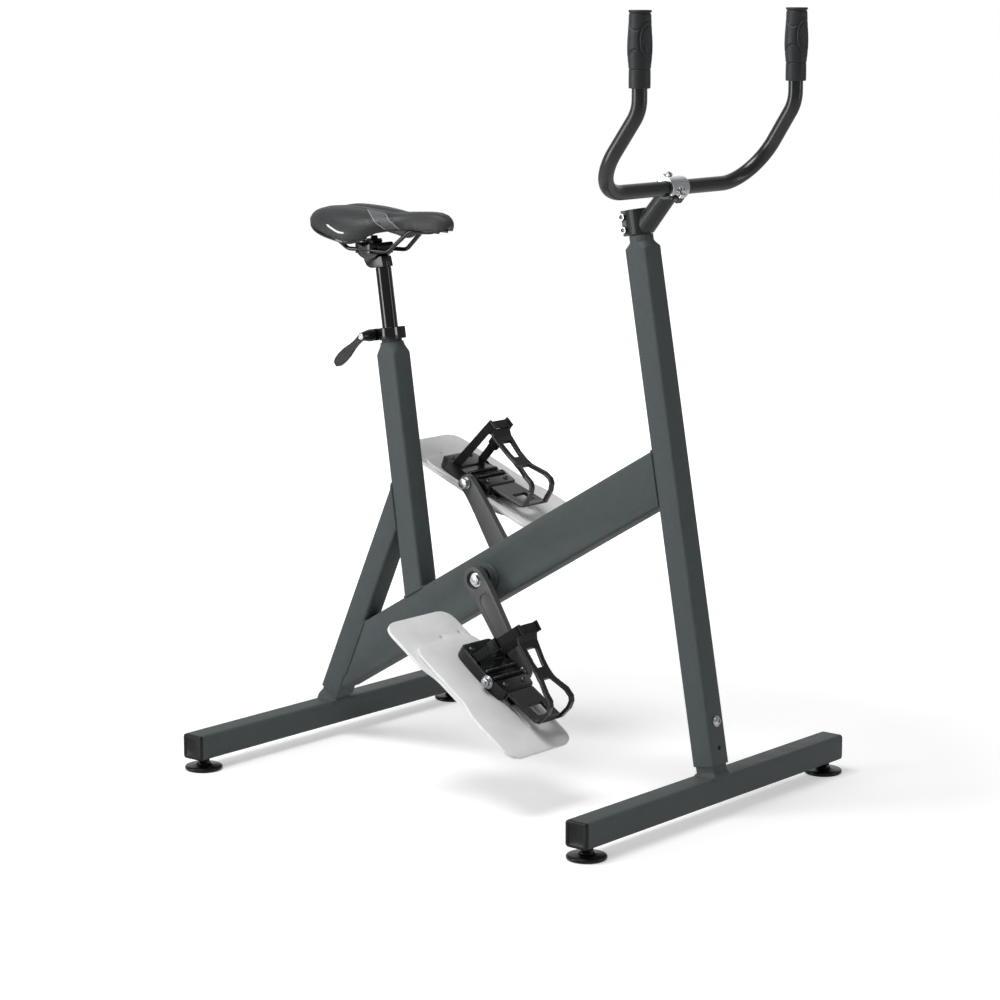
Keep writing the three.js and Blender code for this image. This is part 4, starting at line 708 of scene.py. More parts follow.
def pressed_tube(node, axis, square, press, rings_above):
    """A square tube whose top is pressed round, with a flat pressed into each side."""
    place = placed(axis.x, axis.z, axis.lean)
    lower = moved(copied(node), place.inverted())
    bmesh.ops.bisect_plane(lower, geom=lower.verts[:] + lower.edges[:] + lower.faces[:], dist=0.001,
                           plane_co=(0, 0, square), plane_no=(0, 0, 1), clear_outer=True)
    rings = []
    for k in range(PRESS_STEPS + 1):
        share = k / PRESS_STEPS
        ease = share * share * (3 - 2 * share)
        side = TUBE_SIDE + (rings_above[0][0] - TUBE_SIDE) * ease
        corner = TUBE_CORNER + (side / 2 - TUBE_CORNER) * min(1, ease ** 0.8)
        rings.append((side, corner, square + press * share))
    skin = [rounded(side, side, corner, level, 10) for side, corner, level in rings]
    for diameter, level in rings_above:
        skin.append(rounded(diameter, diameter, diameter / 2, level, 10))
    upper = skinned(skin, caps=False)
    return piece(node + "_skin", "frame", POWDER, joined(lower, upper), place, (node,), 0, 38)


pressed_tube("front_post", POST, 796, 12,
             [(36, 808.5), (36, 815.8), (35.4, 816.5), (28.6, 816.5), (28.6, 853)])
pressed_tube("seat_tube", SEAT, 426, 20,
             [(37.4, 446), (33.4, 446.2), (33, 447), (33, 467.6), (32.4, 468), (26, 468)])

# %% [markdown]
# ## Weld beads
#
# A weld is a row of small overlapping scales, one for each pause of the torch. It could
# be a bump in the coat, but its outline shows against the light, so it is modelled: a rod
# carried along the loop where two tubes meet, whose radius swells and pinches once for
# each scale, by a slightly random amount.

# %% Loops where tubes meet
HALF = TUBE_SIDE / 2


def tube_end(axis, depth, other, other_offset, corner=TUBE_CORNER, low=-1e9, high=1e9):
    """The loop where a tube's side meets the face of another tube."""
    loop = []
    for offset, y, _ in rounded(depth, TUBE_SIDE, corner, 0, 5):
        offset = min(max(offset, low), high)
        x, z = axis.at(axis.meets(offset, other, other_offset), offset)
        loop.append(Vector((x, y, z)))
    return loop


def resampled(loop, spacing):
    """Points along a closed loop, equally far apart."""
    length = [0.0]
    points = loop + [loop[0]]
    for a, b in zip(points, points[1:]):
        length.append(length[-1] + (b - a).length)
    count = round(length[-1] / spacing)
    out, k = [], 0
    for i in range(count):
        target = length[-1] * i / count
        while length[k + 1] < target:
            k += 1
        span = length[k + 1] - length[k]
        out.append(points[k].lerp(points[k + 1], (target - length[k]) / span if span else 0))
    return out


def circle(radius, y):
    """A circle round the crank's axis."""
    return [Vector((CRANK_X + a, y, CRANK_Z + b)) for a, b in disc(radius, 48)]


# %% Beads


def weld(name, loop, radius=2.2, pitch=2.4, seed=1):
    """A weld bead: a rod whose radius swells and pinches once for each scale."""
    swell = (0.86, 0.97, 1.03, 1.0)
    steps = len(swell)
    points = resampled(loop, pitch / steps)
    points = points[: len(points) // steps * steps]
    chance = random.Random(seed)
    scales = [1 + chance.uniform(-0.08, 0.08) for _ in range(len(points) // steps)]

    def section(i):
        return disc(radius * swell[i % steps] * scales[(i // steps) % len(scales)], 10)

    return piece(name, "frame", POWDER, swept(points, section, closed=True), None, (), 0, 70)


weld("weld_beam_post", tube_end(BEAM, BEAM_DEPTH, POST, -HALF), seed=2)
weld("weld_seat_tube_beam", tube_end(SEAT, TUBE_SIDE, BEAM, -BEAM_DEPTH / 2), seed=3)
weld("weld_brace_seat_tube", tube_end(BRACE, TUBE_SIDE, SEAT, -HALF), seed=4)
weld("weld_beam_brace", tube_end(BEAM, BEAM_DEPTH, BRACE, HALF, high=BEAM_DEPTH / 2 - 20), seed=5)
for hand, sign in SIDES:
    weld(f"weld_shell_{hand}", circle(21.8, sign * 21), 2.0, seed=6)
for end, axis in (("front", POST), ("rear", BRACE)):
    floor_line = Line(0, 60.4, math.pi / 2)
    weld(f"weld_stub_{end}", tube_end(axis, 33.4, floor_line, 0, 2.5), 2.2, seed=7)

# %% [markdown]
# ## Feet
#
# Each foot ends in a moulded plug with a sunk square, and stands on a round pad with a
# levelling stud. The pad's profile is spun, as its mould was turned. The plug could be a
# cube, inset and extruded, but its edge is a slow curve, so it is a stack of rounded
# squares, one ring for each step of that curve.

# %% Pads, studs and plugs
PAD_PROFILE = fillet([(0, 0), (27.5, 0), (29.6, 1.6), (30, 4.4), (29.2, 6.2), (26.5, 7.2),
                      (14, 8.4), (12, 9.6), (11.2, 11.5), (5.3, 11.5), (5.3, 5.5), (0, 5.5)], 0.8)
CAP_RINGS = [(31, 31, 3, -9), (33, 33, 3.4, -8), (33, 33, 3.4, 0), (39.4, 39.4, 4.6, 0),
             (40, 40, 5, 0.4), (40, 40, 5, 2), (39.6, 39.6, 4.9, 2.9), (38.6, 38.6, 4.6, 3.6),
             (37, 37, 4.2, 3.95), (29.6, 29.6, 4, 3.95), (28.8, 28.8, 3.8, 3.7),
             (28.2, 28.2, 3.6, 3), (27.4, 27.4, 3.4, 2.8)]
CAP_SETBACK = 4

for end, sign_x in (("front", 1), ("rear", -1)):
    for hand, sign in SIDES:
        tag = f"{end}_{hand}"
        at = Matrix.Translation((sign_x * FOOT_SPAN / 2, sign * (FOOT_LENGTH / 2 - PAD_INSET), 0))
        piece(f"pad_{tag}", f"foot_screw_{tag}", PAD_PLASTIC, turned(PAD_PROFILE, 96), at,
              (f"levelling_pad_{tag}",), 0, 35)
        dressed(f"levelling_stud_{tag}", ZINC, 0.3)
        at = Matrix.Translation((sign_x * FOOT_SPAN / 2, sign * (FOOT_LENGTH / 2 - CAP_SETBACK),
                                 FOOT_CLEARANCE + HALF))
        piece(f"cap_{tag}", "frame", PAD_PLASTIC, stacked(CAP_RINGS), at @ facing(sign),
              (f"{end}_foot_cap_{hand}",), 0, 32)
for bolt in ("post_bolt", "brace_bolt"):
    dressed(bolt, STEEL, 0.3)

# %% [markdown]
# ## Cranks
#
# A crank is forged alloy: a flat arm that swings outwards between its hub and its eye,
# with a sunk panel in its outer face and a flanged hex bolt deep in the hub. A curve
# could carry a section along the swing, but the arm is easier to draw flat, as the
# outline round two circles. Cuts across it give it joints, and the joints are moved out.
# Booleans then take away the panel, the hub's recess and the eye.

# %% Crank outline


def hexagon(across, low, high):
    """A hexagon, given across its flats."""
    return slab(disc(across / math.sqrt(3), 6), low, high)


def capsule(x0, x1, r0, r1, steps=24):
    """The outline round two circles on the X axis."""
    lean = math.asin((r0 - r1) / (x1 - x0))
    points = []
    for x, r, start in ((x1, r1, -1), (x0, r0, 1)):
        low, high = (-math.pi / 2 + lean, math.pi / 2 - lean) if start < 0 else (
            math.pi / 2 - lean, 3 * math.pi / 2 + lean)
        for k in range(steps + 1):
            angle = low + (high - low) * k / steps
            points.append((x + r * math.cos(angle), r * math.sin(angle)))
    return points


# %% Crank swing
CRANK_BACK, CRANK_THICK, CRANK_FLARE = 42, 10.5, 20
STRIP = 5


def flare(x):
    """How far the arm has swung out at a distance from its hub."""
    share = min(1, max(0, (x / CRANK_LENGTH - 0.1) / 0.8))
    return CRANK_FLARE * (share * share * (3 - 2 * share) * 0.35 + share * 0.65)


def bent_out(form):
    """Cuts a flat form into strips and swings each point out to the crank's line."""
    for k in range(1, CRANK_LENGTH // STRIP):
        bmesh.ops.bisect_plane(form, geom=form.verts[:] + form.edges[:] + form.faces[:], dist=0.001,
                               plane_co=(k * STRIP, 0, 0), plane_no=(1, 0, 0))
    for vert in form.verts:
        vert.co.z += flare(vert.co.x)
    return form


# %% Crank arms and their bolts
OUTER = CRANK_BACK + CRANK_THICK
CRANK_FRAME = Matrix.Translation((CRANK_X, 0, CRANK_Z)) @ Matrix.Rotation(CRANK_ANGLE, 4, "Y")


def crank_form():
    """The arm, cut for its panel, recess and eye, with the round boss behind its hub."""
    arm = bent_out(slab(capsule(0, CRANK_LENGTH, 20.4, 13.4), CRANK_BACK, OUTER))
    panel = bent_out(slab(capsule(38, CRANK_LENGTH - 21, 11.5, 7.2, 12), OUTER - 1.1, OUTER + 6))
    recess = turned([(0, OUTER - 6.2), (13, OUTER - 6.2), (14, OUTER - 5), (14, OUTER + 3),
                     (0, OUTER + 3)])
    eye = turned([(0, 30), (6.8, 30), (6.8, 95), (0, 95)])
    eye.transform(Matrix.Translation((CRANK_LENGTH, 0, 0)))
    arm = carved(arm, panel, recess, eye)
    hub = turned([(7.4, 38.5), (19, 38.5), (20, 39.4), (20, 42.2), (7.4, 42.2), (7.4, 38.5)])
    return joined(arm, hub)


for hand, sign in SIDES:
    # Made along +X with its outer face up, then stood on edge with that face outwards.
    flip = Matrix.Rotation(math.pi, 4, "Z") if sign > 0 else Matrix()
    at = CRANK_FRAME @ flip @ TO_Y
    piece(f"crank_arm_{hand}", "crankset", CRANK, crank_form(), at, (f"crank_{hand}",), 0.8, 32)
    flange = turned(fillet([(0, OUTER - 6), (11.6, OUTER - 6), (11.9, OUTER - 5.2),
                            (11.2, OUTER - 4.7), (0, OUTER - 4.7)], 0.3))
    head = modified(hexagon(15.6, OUTER - 5, OUTER - 0.6), ("BEVEL", {"width": 0.5, "segments": 3}))
    rim = turned([(4.1, OUTER - 0.7), (6.6, OUTER - 0.7), (6.4, OUTER - 0.3), (4.3, OUTER - 0.3),
                  (4.1, OUTER - 0.7)])
    piece(f"crank_bolt_head_{hand}", "crankset", STEEL, joined(flange, head, rim), at,
          (f"crank_bolt_{hand}",), 0, 30)
    dressed(f"bearing_cup_{hand}", PAD_PLASTIC, 0.4)
dressed("crank_spindle", STEEL, 0.3)

# %% [markdown]
# ## Pedals
#
# A pedal is a moulded nylon block with two toothed ridges across its tread, a toe cage
# bolted to its front, a strap through the cage's ears and two thin paddles screwed
# underneath. The block has one outline from the side and another from above. Cutting one
# extruded outline with the other gives both at once, where a modelled cage of points
# would have to be kept fair in two views. The lengths are in the pedal's own frame:
# X forward, Z up, Y outwards from its middle.

# %% The pedals' places
PEDAL_REAR, PEDAL_FRONT, PEDAL_TOP, PEDAL_BOTTOM, PEDAL_WIDTH = 78, 32, 4, 17, 76


def pedal_frame(hand, sign):
    """The place of a pedal's spindle, and of its block on that spindle."""
    across = -1 if hand == "right" else 1
    x = CRANK_X - across * CRANK_LENGTH * math.cos(CRANK_ANGLE)
    z = CRANK_Z + across * CRANK_LENGTH * math.sin(CRANK_ANGLE)
    turn = Matrix.Rotation(PEDAL_TILT[hand], 4, "Y")
    block = Matrix.Translation((PEDAL_SETBACK, sign * PEDAL_MIDDLE, PEDAL_LIFT))
    return Matrix.Translation((x, 0, z)) @ turn, block


# %% Pedal block
PLAN = [(-1, 0.8), (-0.85, 0.93), (-0.5, 0.98), (-0.15, 1), (0.3, 1), (0.8, 0.92), (1, 0.78)]
SIDE_VIEW = [(-1, -10), (-0.95, -16.6), (0.9, -17), (1, -12), (1, -1), (0.93, 4), (0.25, 4), (0.2, 2.2),
             (-0.43, 2.2), (-0.47, 4), (-0.94, 4), (-1, 1.6), (-1, -10)]


def reach(u):
    """A share of the pedal's length behind or before its spindle, in millimetres."""
    return u * (PEDAL_REAR if u < 0 else PEDAL_FRONT)


def pedal_block():
    """The moulded block, its plan cut from its side view, with a strap slot in each cheek."""
    side = fillet([(reach(u), z) for u, z in SIDE_VIEW], 3)[:-1]
    half = PEDAL_WIDTH / 2
    block = moved(slab(side[::-1], -half - 1, half + 1), TO_Y)
    plan = [(reach(u), y * half) for u, y in PLAN]
    ring = plan + [(x, -y) for x, y in plan[::-1]]
    ring = fillet(ring + ring[:2], 9, 5)
    block = carved(block, slab(ring[1:-1], -40, 40), operation="INTERSECT")
    spindle_bore = turned([(0, -60), (7.2, -60), (7.2, 60), (0, 60)], 32)
    tools = [moved(spindle_bore, Matrix.Translation((-PEDAL_SETBACK, 0, -PEDAL_LIFT)) @ TO_Y)]
    for y in (-1, 1):
        slot = slab(rounded_flat(19, 5, 2), -1.6, 30)
        tools.append(moved(slot, Matrix.Translation((-46, y * 33.2, -14)) @ Matrix.Rotation(0.377, 4, "Y")))
        pocket = slab(rounded_flat(13, 3.4, 1.5), -3, 6)
        tools.append(moved(pocket, Matrix.Translation((-24, y * 41, -7)) @ facing(y)))
    return carved(block, *tools)


# %% [markdown]
# ## Tread, screws and toe cage
#
# The tread is two bars with a row of small pointed teeth each and low ribs between them,
# moulded in one with the block. A texture would stay flat where the teeth meet the light,
# so each tooth is a small plate of its own. Four pan-head screws go through the block into
# the paddles. The toe cage is one moulding whose rails flow into its ears, so its solid
# is remeshed and softened.

# %% Teeth and ribs
TEETH, TOOTH_PITCH, RIDGE_HALF_WIDTH, RIB_HALF_WIDTH = 23, 3.0, 35.4, 33
RIDGES, RIBS = (-14.8, 1.4), (-10.4, -8.4, -6.4, -4.4, -2.4)


def teeth(x, count, pitch, height, depth, level):
    """A row of small teeth across the pedal: each a pointed plate that stands along X."""
    half_foot, half_tip = pitch * 0.46, pitch * 0.16
    outline = [(-half_foot, level), (half_foot, level), (half_tip, level + height),
               (-half_tip, level + height)]
    stand = Matrix(((0, 0, 1, 0), (1, 0, 0, 0), (0, 1, 0, 0), (0, 0, 0, 1)))
    row = []
    for i in range(count):
        y = (i - (count - 1) / 2) * pitch
        row.append(moved(slab(outline, -depth / 2, depth / 2), Matrix.Translation((x, y, 0)) @ stand))
    return joined(*row)


def strip(x, half, half_width, low, high):
    """A straight rib across the pedal."""
    return slab([(x - half, -half_width), (x + half, -half_width), (x + half, half_width),
                 (x - half, half_width)], low, high)


def tread_form():
    """Both rows of teeth, the ribs between them and the bar under each row."""
    rows = [teeth(x, TEETH, TOOTH_PITCH, 2.6, 5, 3.3) for x in RIDGES]
    ribs = [strip(x, 0.5, RIB_HALF_WIDTH, 1.6, 2.9) for x in RIBS]
    bars = [strip(x, 2.4, RIDGE_HALF_WIDTH, 1.6, 3.5) for x in RIDGES]
    return joined(*rows, *ribs, *bars)


# %% Pedal screws
PEDAL_SCREWS = [(x, y) for x in (-64, 17) for y in (-22, 22)]


def screw_head(radius, height):
    """A pan head with a hexagon socket, its foot at zero."""
    profile = [(0, 0), (radius, 0), (radius, height * 0.4), (radius * 0.72, height), (0, height)]
    return carved(turned(fillet(profile, 0.8), 40), hexagon(radius * 0.95, height * 0.45, height * 2))


def pedal_screws():
    """Head, nut and shank of the four screws that hold the paddles."""
    forms = []
    for x, y in PEDAL_SCREWS:
        nut = modified(hexagon(8, 0, 4), ("BEVEL", {"width": 0.4, "segments": 2}))
        shank = turned([(0, 0), (2.4, 0), (2.4, 14), (0, 14)], 20)
        forms.append(moved(screw_head(4.6, 2.6), Matrix.Translation((x, y, PEDAL_TOP - 0.2))))
        forms.append(moved(nut, Matrix.Translation((x, y, -PEDAL_BOTTOM - 15.8))))
        forms.append(moved(shank, Matrix.Translation((x, y, -PEDAL_BOTTOM - 13))))
    return joined(*forms)


# %% Both pedals
for hand, sign in SIDES:
    spindle_frame, offset = pedal_frame(hand, sign)
    at = spindle_frame @ offset
    body = f"pedal_{hand}"
    piece(f"pedal_block_{hand}", body, PLASTIC, pedal_block(), at, (f"pedal_body_{hand}",), 0.7, 30)
    piece(f"tread_{hand}", body, PLASTIC, tread_form(), at, (), 0.2, 30)
    piece(f"pedal_screws_{hand}", body, GREY_PLATE, pedal_screws(), at, (), 0, 30)
    moulded(f"toe_cage_{hand}", PLASTIC, 0.6, 5)

# %% [markdown]
# ## Pedal axles
#
# The axle is turned steel. Its hexagon shows inside the crank's eye, and its washers and
# nut show on the block's cheeks. Each washer has its own spun profile with a soft rim, and
# the hexagons get a small bevel, as a spanner's corners are never sharp.

# %% Axles, washers and nuts
WASHERS = [
    [(0, 60), (10.2, 60), (10.4, 60.8), (10.2, 61.7), (0, 61.7)],
    [(0, 72.8), (9.6, 72.8), (9.8, 73.6), (9.6, 74.6), (0, 74.6)],
    [(0, 75), (8, 75), (8, 76.9), (0, 76.9)],
    [(0, 153.2), (10.3, 153.2), (10.5, 154), (10.3, 154.9), (0, 154.9)],
    [(0, 154.8), (8.9, 154.8), (8.7, 156), (7.8, 156.6), (0, 156.6)],
]
AXLE_END = [(0, 161), (4.2, 161), (4.1, 164), (3.2, 164.8), (0, 164.8)]
for hand, sign in SIDES:
    spindle_frame, _ = pedal_frame(hand, sign)
    axle = joined(
        turned([(0, 60), (6.4, 60), (6.4, 155), (0, 155)], 32),
        modified(hexagon(15.6, 53, 60), ("BEVEL", {"width": 0.6, "segments": 3})),
        *[turned(fillet(washer, 0.4), 48) for washer in WASHERS],
        modified(hexagon(13.6, 156.4, 161.6), ("BEVEL", {"width": 0.7, "segments": 3})),
        turned(fillet(AXLE_END, 0.5), 32))
    piece(f"axle_{hand}", "crankset", STEEL, axle, spindle_frame @ facing(sign),
          (f"pedal_axle_{hand}",), 0, 30)

# %% [markdown]
# ## Toe straps
#
# Woven nylon webbing, closed in one loop: its two legs rise from the slots in the pedal's
# cheeks, sag a little and pass through the cage's ears at the top. A metal buckle grips
# the outer leg, and the free end is folded under it. Webbing this stiff keeps the curve
# that its ends give it, so a simulation would add nothing: a flat section is carried
# along a smooth curve through a few measured points.

# %% Smooth curves


def curve_through(knots, t):
    """A smooth curve through (place, value, ...) rows, read at a place."""
    last = len(knots) - 1
    i = max(0, min(last - 1, sum(1 for knot in knots if knot[0] <= t) - 1))
    a, b = knots[i], knots[i + 1]
    before, after = knots[max(0, i - 1)], knots[min(last, i + 2)]
    span = b[0] - a[0]
    s = min(1, max(0, (t - a[0]) / span))
    out = []
    for c in range(1, len(a)):
        start = (b[c] - before[c]) / (b[0] - before[0]) * span
        end = (after[c] - a[c]) / (after[0] - a[0]) * span
        out.append((2 * s**3 - 3 * s**2 + 1) * a[c] + (s**3 - 2 * s**2 + s) * start
                   + (3 * s**2 - 2 * s**3) * b[c] + (s**3 - s**2) * end)
    return out


def smooth_path(points, count=60):
    """Places evenly spaced on a smooth curve through points, both ends included."""
    knots = [(i, *point) for i, point in enumerate(points)]
    return [curve_through(knots, i * (len(points) - 1) / count) for i in range(count + 1)]


# %% Straps and buckles
STRAP = Matrix.Translation((-50, 0, -PEDAL_BOTTOM / 2)) @ Matrix.Rotation(math.radians(21.6), 4, "Y")


def ribbon(points, width, thick):
    """A flat strip of webbing along points in the strap's plane, given as (y, z)."""
    flat = [(x, y) for x, y, _ in rounded(width, thick, thick * 0.45, 0, 3)]
    line = [Vector((0, y, z)) for y, z in points]
    rings = []
    for i, point in enumerate(line):
        along = (line[min(i + 1, len(line) - 1)] - line[max(i - 1, 0)]).normalized()
        normal = Vector((1, 0, 0)).cross(along)
        rings.append([point + Vector((1, 0, 0)) * a + normal * b for a, b in flat])
    return skinned(rings)


STRAP_LEG = [(32, 1), (32, 14), (30.2, 40), (27.6, 75), (25.8, 98), (23.4, 105.6), (17, 106.9)]
STRAP_FOLD = [(28.6, 40), (26.2, 60), (24.6, 76), (23.4, 90), (21.4, 99)]
for hand, sign in SIDES:
    spindle_frame, offset = pedal_frame(hand, sign)
    at = spindle_frame @ offset @ STRAP
    right_leg, left_leg = ([(y * a, z) for a, z in STRAP_LEG] for y in (-1, 1))
    loop = smooth_path(right_leg + [(0, 107)] + left_leg[::-1], 120)
    fold = smooth_path([(sign * a, z) for a, z in STRAP_FOLD], 30)
    strap = joined(ribbon(loop, 15, 1.9), ribbon(fold, 14, 1.7))
    piece(f"strap_{hand}", f"pedal_{hand}", WEBBING, strap, at, (f"toe_strap_{hand}",), 0, 50)
    roller = moved(turned([(0, -9.6), (2.6, -9.6), (2.6, 9.6), (0, 9.6)], 24),
                   Matrix.Translation((0, 7, 1.2)) @ Matrix.Rotation(math.radians(90), 4, "Y"))
    plate = joined(slab(rounded_flat(21, 20, 3.5), -3.2, 1.6),
                   slab(rounded_flat(12, 9, 1.5), 1.5, 2.9), roller)
    leaning = Matrix.Translation((0, sign * 30.2, 56)) @ Matrix.Rotation(sign * 0.072, 4, "X") @ facing(sign)
    piece(f"buckle_{hand}", f"pedal_{hand}", ZINC, plate, at @ leaning, (f"strap_buckle_{hand}",), 0.9, 30)

# %% [markdown]
# ## Paddles
#
# Thin plates of milky plastic with rounded corners and two long slots for their screws.
# They were cut from sheet, so one outline is extruded and the slots are cut through it.
# The outer edge has a wide sweep that a bevel can't give, so each corner is a short curve
# between two points of the outline, pulled towards a third.

# %% Paddles
SLOT_LENGTH, SLOT_WIDTH, SLOT_START = 158, 6, 47
SCREW_SPREAD, PADDLE_EDGE = 22, 0.8


def paddle_form(side):
    """A paddle on one side of the bike, its slots in place for the pedal's screws."""
    def corner(cx, cy, ax, ay, bx, by, steps=14):
        out = []
        for k in range(steps + 1):
            s = k / steps
            out.append(((1 - s) ** 2 * ax + 2 * s * (1 - s) * cx + s * s * bx,
                        (1 - s) ** 2 * ay + 2 * s * (1 - s) * cy + s * s * by))
        return out

    inner, wide, narrow, r, length = 75, 225, 215, 28, 248
    ring = (corner(0, inner, -r, inner, 0, inner + r) + corner(0, wide, 0, wide - r, -r, wide)
            + corner(-94, wide, -82, wide, -102, wide - 2.6, 6)
            + corner(-125, narrow, -115, narrow + 3.2, -137, narrow, 6)
            + corner(-length, narrow, -length + r, narrow, -length, narrow - r)
            + corner(-length, inner, -length, inner + r, -length + r, inner))
    form = slab([(x, side * y) for x, y in ring], -5.5, 0)
    tools = []
    for y in (PEDAL_MIDDLE - SCREW_SPREAD, PEDAL_MIDDLE + SCREW_SPREAD):
        tool = slab(rounded_flat(SLOT_LENGTH, SLOT_WIDTH, 2.9), -20, 20)
        tools.append(moved(tool, Matrix.Translation((-SLOT_START - SLOT_LENGTH / 2, side * y, 0))))
    return carved(form, *tools)


for hand, sign in SIDES:
    spindle_frame, _ = pedal_frame(hand, sign)
    level = PEDAL_LIFT - PEDAL_BOTTOM - 0.3
    upper = spindle_frame @ Matrix.Translation((PEDAL_SETBACK + 137, 0, level))
    over = Matrix.Rotation(math.pi, 4, "Y")
    lower = spindle_frame @ Matrix.Translation((PEDAL_SETBACK - 171, 0, level - 11.3)) @ over
    piece(f"upper_plate_{hand}", f"upper_paddle_{hand}", MILKY, paddle_form(sign), upper,
          (f"paddle_upper_{hand}",), PADDLE_EDGE, 30)
    piece(f"lower_plate_{hand}", f"lower_paddle_{hand}", MILKY, paddle_form(sign), lower,
          (f"paddle_lower_{hand}",), PADDLE_EDGE, 30)

# %% [markdown]
# ## Seat pin, collar and clamping lever
#
# The pin is a smooth gloss tube, spun from its profile. Its collar is closed by a short
# round-headed screw and a cast lever, and a clamp with grooved jaws holds the saddle's
# rails. Their solids have the right shapes already. The turned ones keep crisp edges with
# a bevel, and the cast ones are remeshed and softened.

# %% Seat pin and clamps
SEAT_FRAME = placed(SEAT.x, SEAT.z, SEAT.lean)
TILT = Matrix.Translation((TILT_X, 0, TILT_Z))
piece("seatpost_tube", BODY_OF["seatpost"], GLOSS,
      turned([(0, 251), (12.7, 251), (12.7, 565.4), (12.2, 566), (11, 566.2), (11, 575), (0, 575)], 96),
      SEAT_FRAME, ("seatpost",), 0, 30)
dressed("seat_collar", GLOSS, 1.0)
dressed("collar_screw", STEEL, 0.5)
moulded("clamp_lever", SATIN, 0.55, 8)
LEVER_AXIS = Matrix.Translation((-280.9, 0, 674.8))
cap = turned(fillet([(0, 38), (5.2, 38), (5.4, 39), (5.3, 40.8), (4.6, 41.5), (2.9, 41.6),
                     (2.6, 40.6), (0, 40.6)], 0.4), 48)
piece("lever_cap_bolt", BODY_OF["clamp_lever"], STEEL, cap, LEVER_AXIS @ facing(-1), (), 0, 30)
dressed("clamp_head", CLAMP, 1.6, 40)
moulded("clamp_jaw_lower", CLAMP, 0.5, 8)
moulded("clamp_jaw_upper", CLAMP, 0.5, 10)
dressed("clamp_bolt", ZINC, 0.5)

# %% [markdown]
# ## Saddle
#
# The saddle is foam under a stretched vinyl cover. Its outline from above and from the side
# was measured at fifteen places along it, and smooth curves run through those measures.
# One shape of half section, from the crown down to the edge, is scaled to them. Rings
# through these sections make the cover.

# %% Sections of the cover
SADDLE_REAR, SADDLE_LENGTH, SADDLE_WIDTH, SADDLE_DEPTH = -97.5, 262, 160, 55
# Place along, half width, top, edge and belly, as shares of the saddle's sizes.
SECTIONS = [
    (0, 0.4, 0.76, 0.64, 0.66), (0.03, 0.68, 0.88, 0.5, 0.56), (0.09, 0.86, 0.97, 0.34, 0.52),
    (0.18, 0.96, 1, 0.2, 0.52), (0.3, 1, 0.97, 0.08, 0.52), (0.4, 0.97, 0.93, 0, 0.52),
    (0.48, 0.88, 0.89, 0.08, 0.52), (0.54, 0.75, 0.87, 0.22, 0.52), (0.6, 0.56, 0.86, 0.35, 0.52),
    (0.66, 0.4, 0.88, 0.37, 0.52), (0.74, 0.31, 0.92, 0.36, 0.52), (0.84, 0.27, 0.95, 0.34, 0.52),
    (0.93, 0.23, 0.91, 0.34, 0.5), (0.98, 0.15, 0.79, 0.42, 0.5), (1, 0.07, 0.7, 0.54, 0.58),
]
# The half section, as shares of its half width and of its height.
CROWN = [(0, 0.97), (0.14, 0.985), (0.34, 1), (0.56, 0.965), (0.74, 0.88), (0.88, 0.7), (0.97, 0.45),
         (1, 0.24), (0.985, 0.08), (0.95, 0)]
CROWN_KNOTS = [(i, *share) for i, share in enumerate(CROWN)]


def cover_section(along, shrink=0.0):
    """Half a ring of the cover at a place along the saddle, from the crown to the edge."""
    half, top, edge, belly = curve_through(SECTIONS, along)
    width = half * SADDLE_WIDTH / 2 - shrink
    points = []
    for k in range(37):
        across, up = curve_through(CROWN_KNOTS, k / 4)
        level = (edge + (top - edge) * up) * SADDLE_DEPTH - shrink * up
        points.append((min(across, 1) * width, level))
    for k in range(1, 13):
        share = k / 12
        level = (edge + (belly - edge) * min(1, 1.5 * share)) * SADDLE_DEPTH
        points.append(((0.95 - 0.95 * share) * width, level))
    return points


def cover_form(stations, shrink=0.0):
    """The whole cover as one closed form."""
    rings = []
    for i in range(stations + 1):
        # Stations crowd together towards both ends, where the cover turns in.
        along = 0.5 - 0.5 * math.cos(math.pi * i / stations)
        right = cover_section(along, shrink)
        x = SADDLE_REAR + along * SADDLE_LENGTH
        left = [(-y, z) for y, z in right[1:-1]][::-1]
        rings.append([(x, -y, z) for y, z in right + left])
    return skinned(rings)


def smooth_between(low, high, value):
    """A share that eases from 0 at the low value to 1 at the high one."""
    share = min(1, max(0, (value - low) / (high - low)))
    return share * share * (3 - 2 * share)


# %% [markdown]
# ## Foam under the cover
#
# Sewn covers bulge between their seams because the foam pushes and the vinyl holds. A
# subdivided mesh alone looks like hard plastic. A short cloth simulation with pressure
# and no gravity gives that bulge, while the underside is held by the base. Each point may
# move by 2.5 mm at most, so that the measured outline stays.

# %% Cloth under pressure
MOST_MOVE = 2.5


def puffed(made, frames=20):
    """Blows the cover up like foam under a sewn cover; its underside stays where it is."""
    group = made.vertex_groups.new(name="held")
    for vert in made.data.vertices:
        if vert.normal.z < -0.2:
            group.add([vert.index], 1.0, "REPLACE")
    start = [vert.co.copy() for vert in made.data.vertices]
    cloth = made.modifiers.new("cloth", "CLOTH")
    cloth.settings.vertex_group_mass = "held"
    cloth.settings.use_pressure = True
    cloth.settings.uniform_pressure_force = 4
    cloth.settings.effector_weights.gravity = 0
    cloth.settings.tension_stiffness = cloth.settings.compression_stiffness = 40
    cloth.point_cache.frame_start, cloth.point_cache.frame_end = 1, frames
    scene = bpy.context.scene
    for number in range(1, frames + 1):
        scene.frame_set(number)
    baked(made)
    scene.frame_set(1)
    moves = [(vert.co - before).length / MM for vert, before in zip(made.data.vertices, start)]
    for vert, before in zip(made.data.vertices, start):
        step = vert.co - before
        if step.length > MOST_MOVE * MM:
            vert.co = before + step.normalized() * MOST_MOVE * MM
    print(f"cloth: {len(moves)} points, mean {sum(moves) / len(moves):.2f} mm, most {max(moves):.2f} mm")
    return made


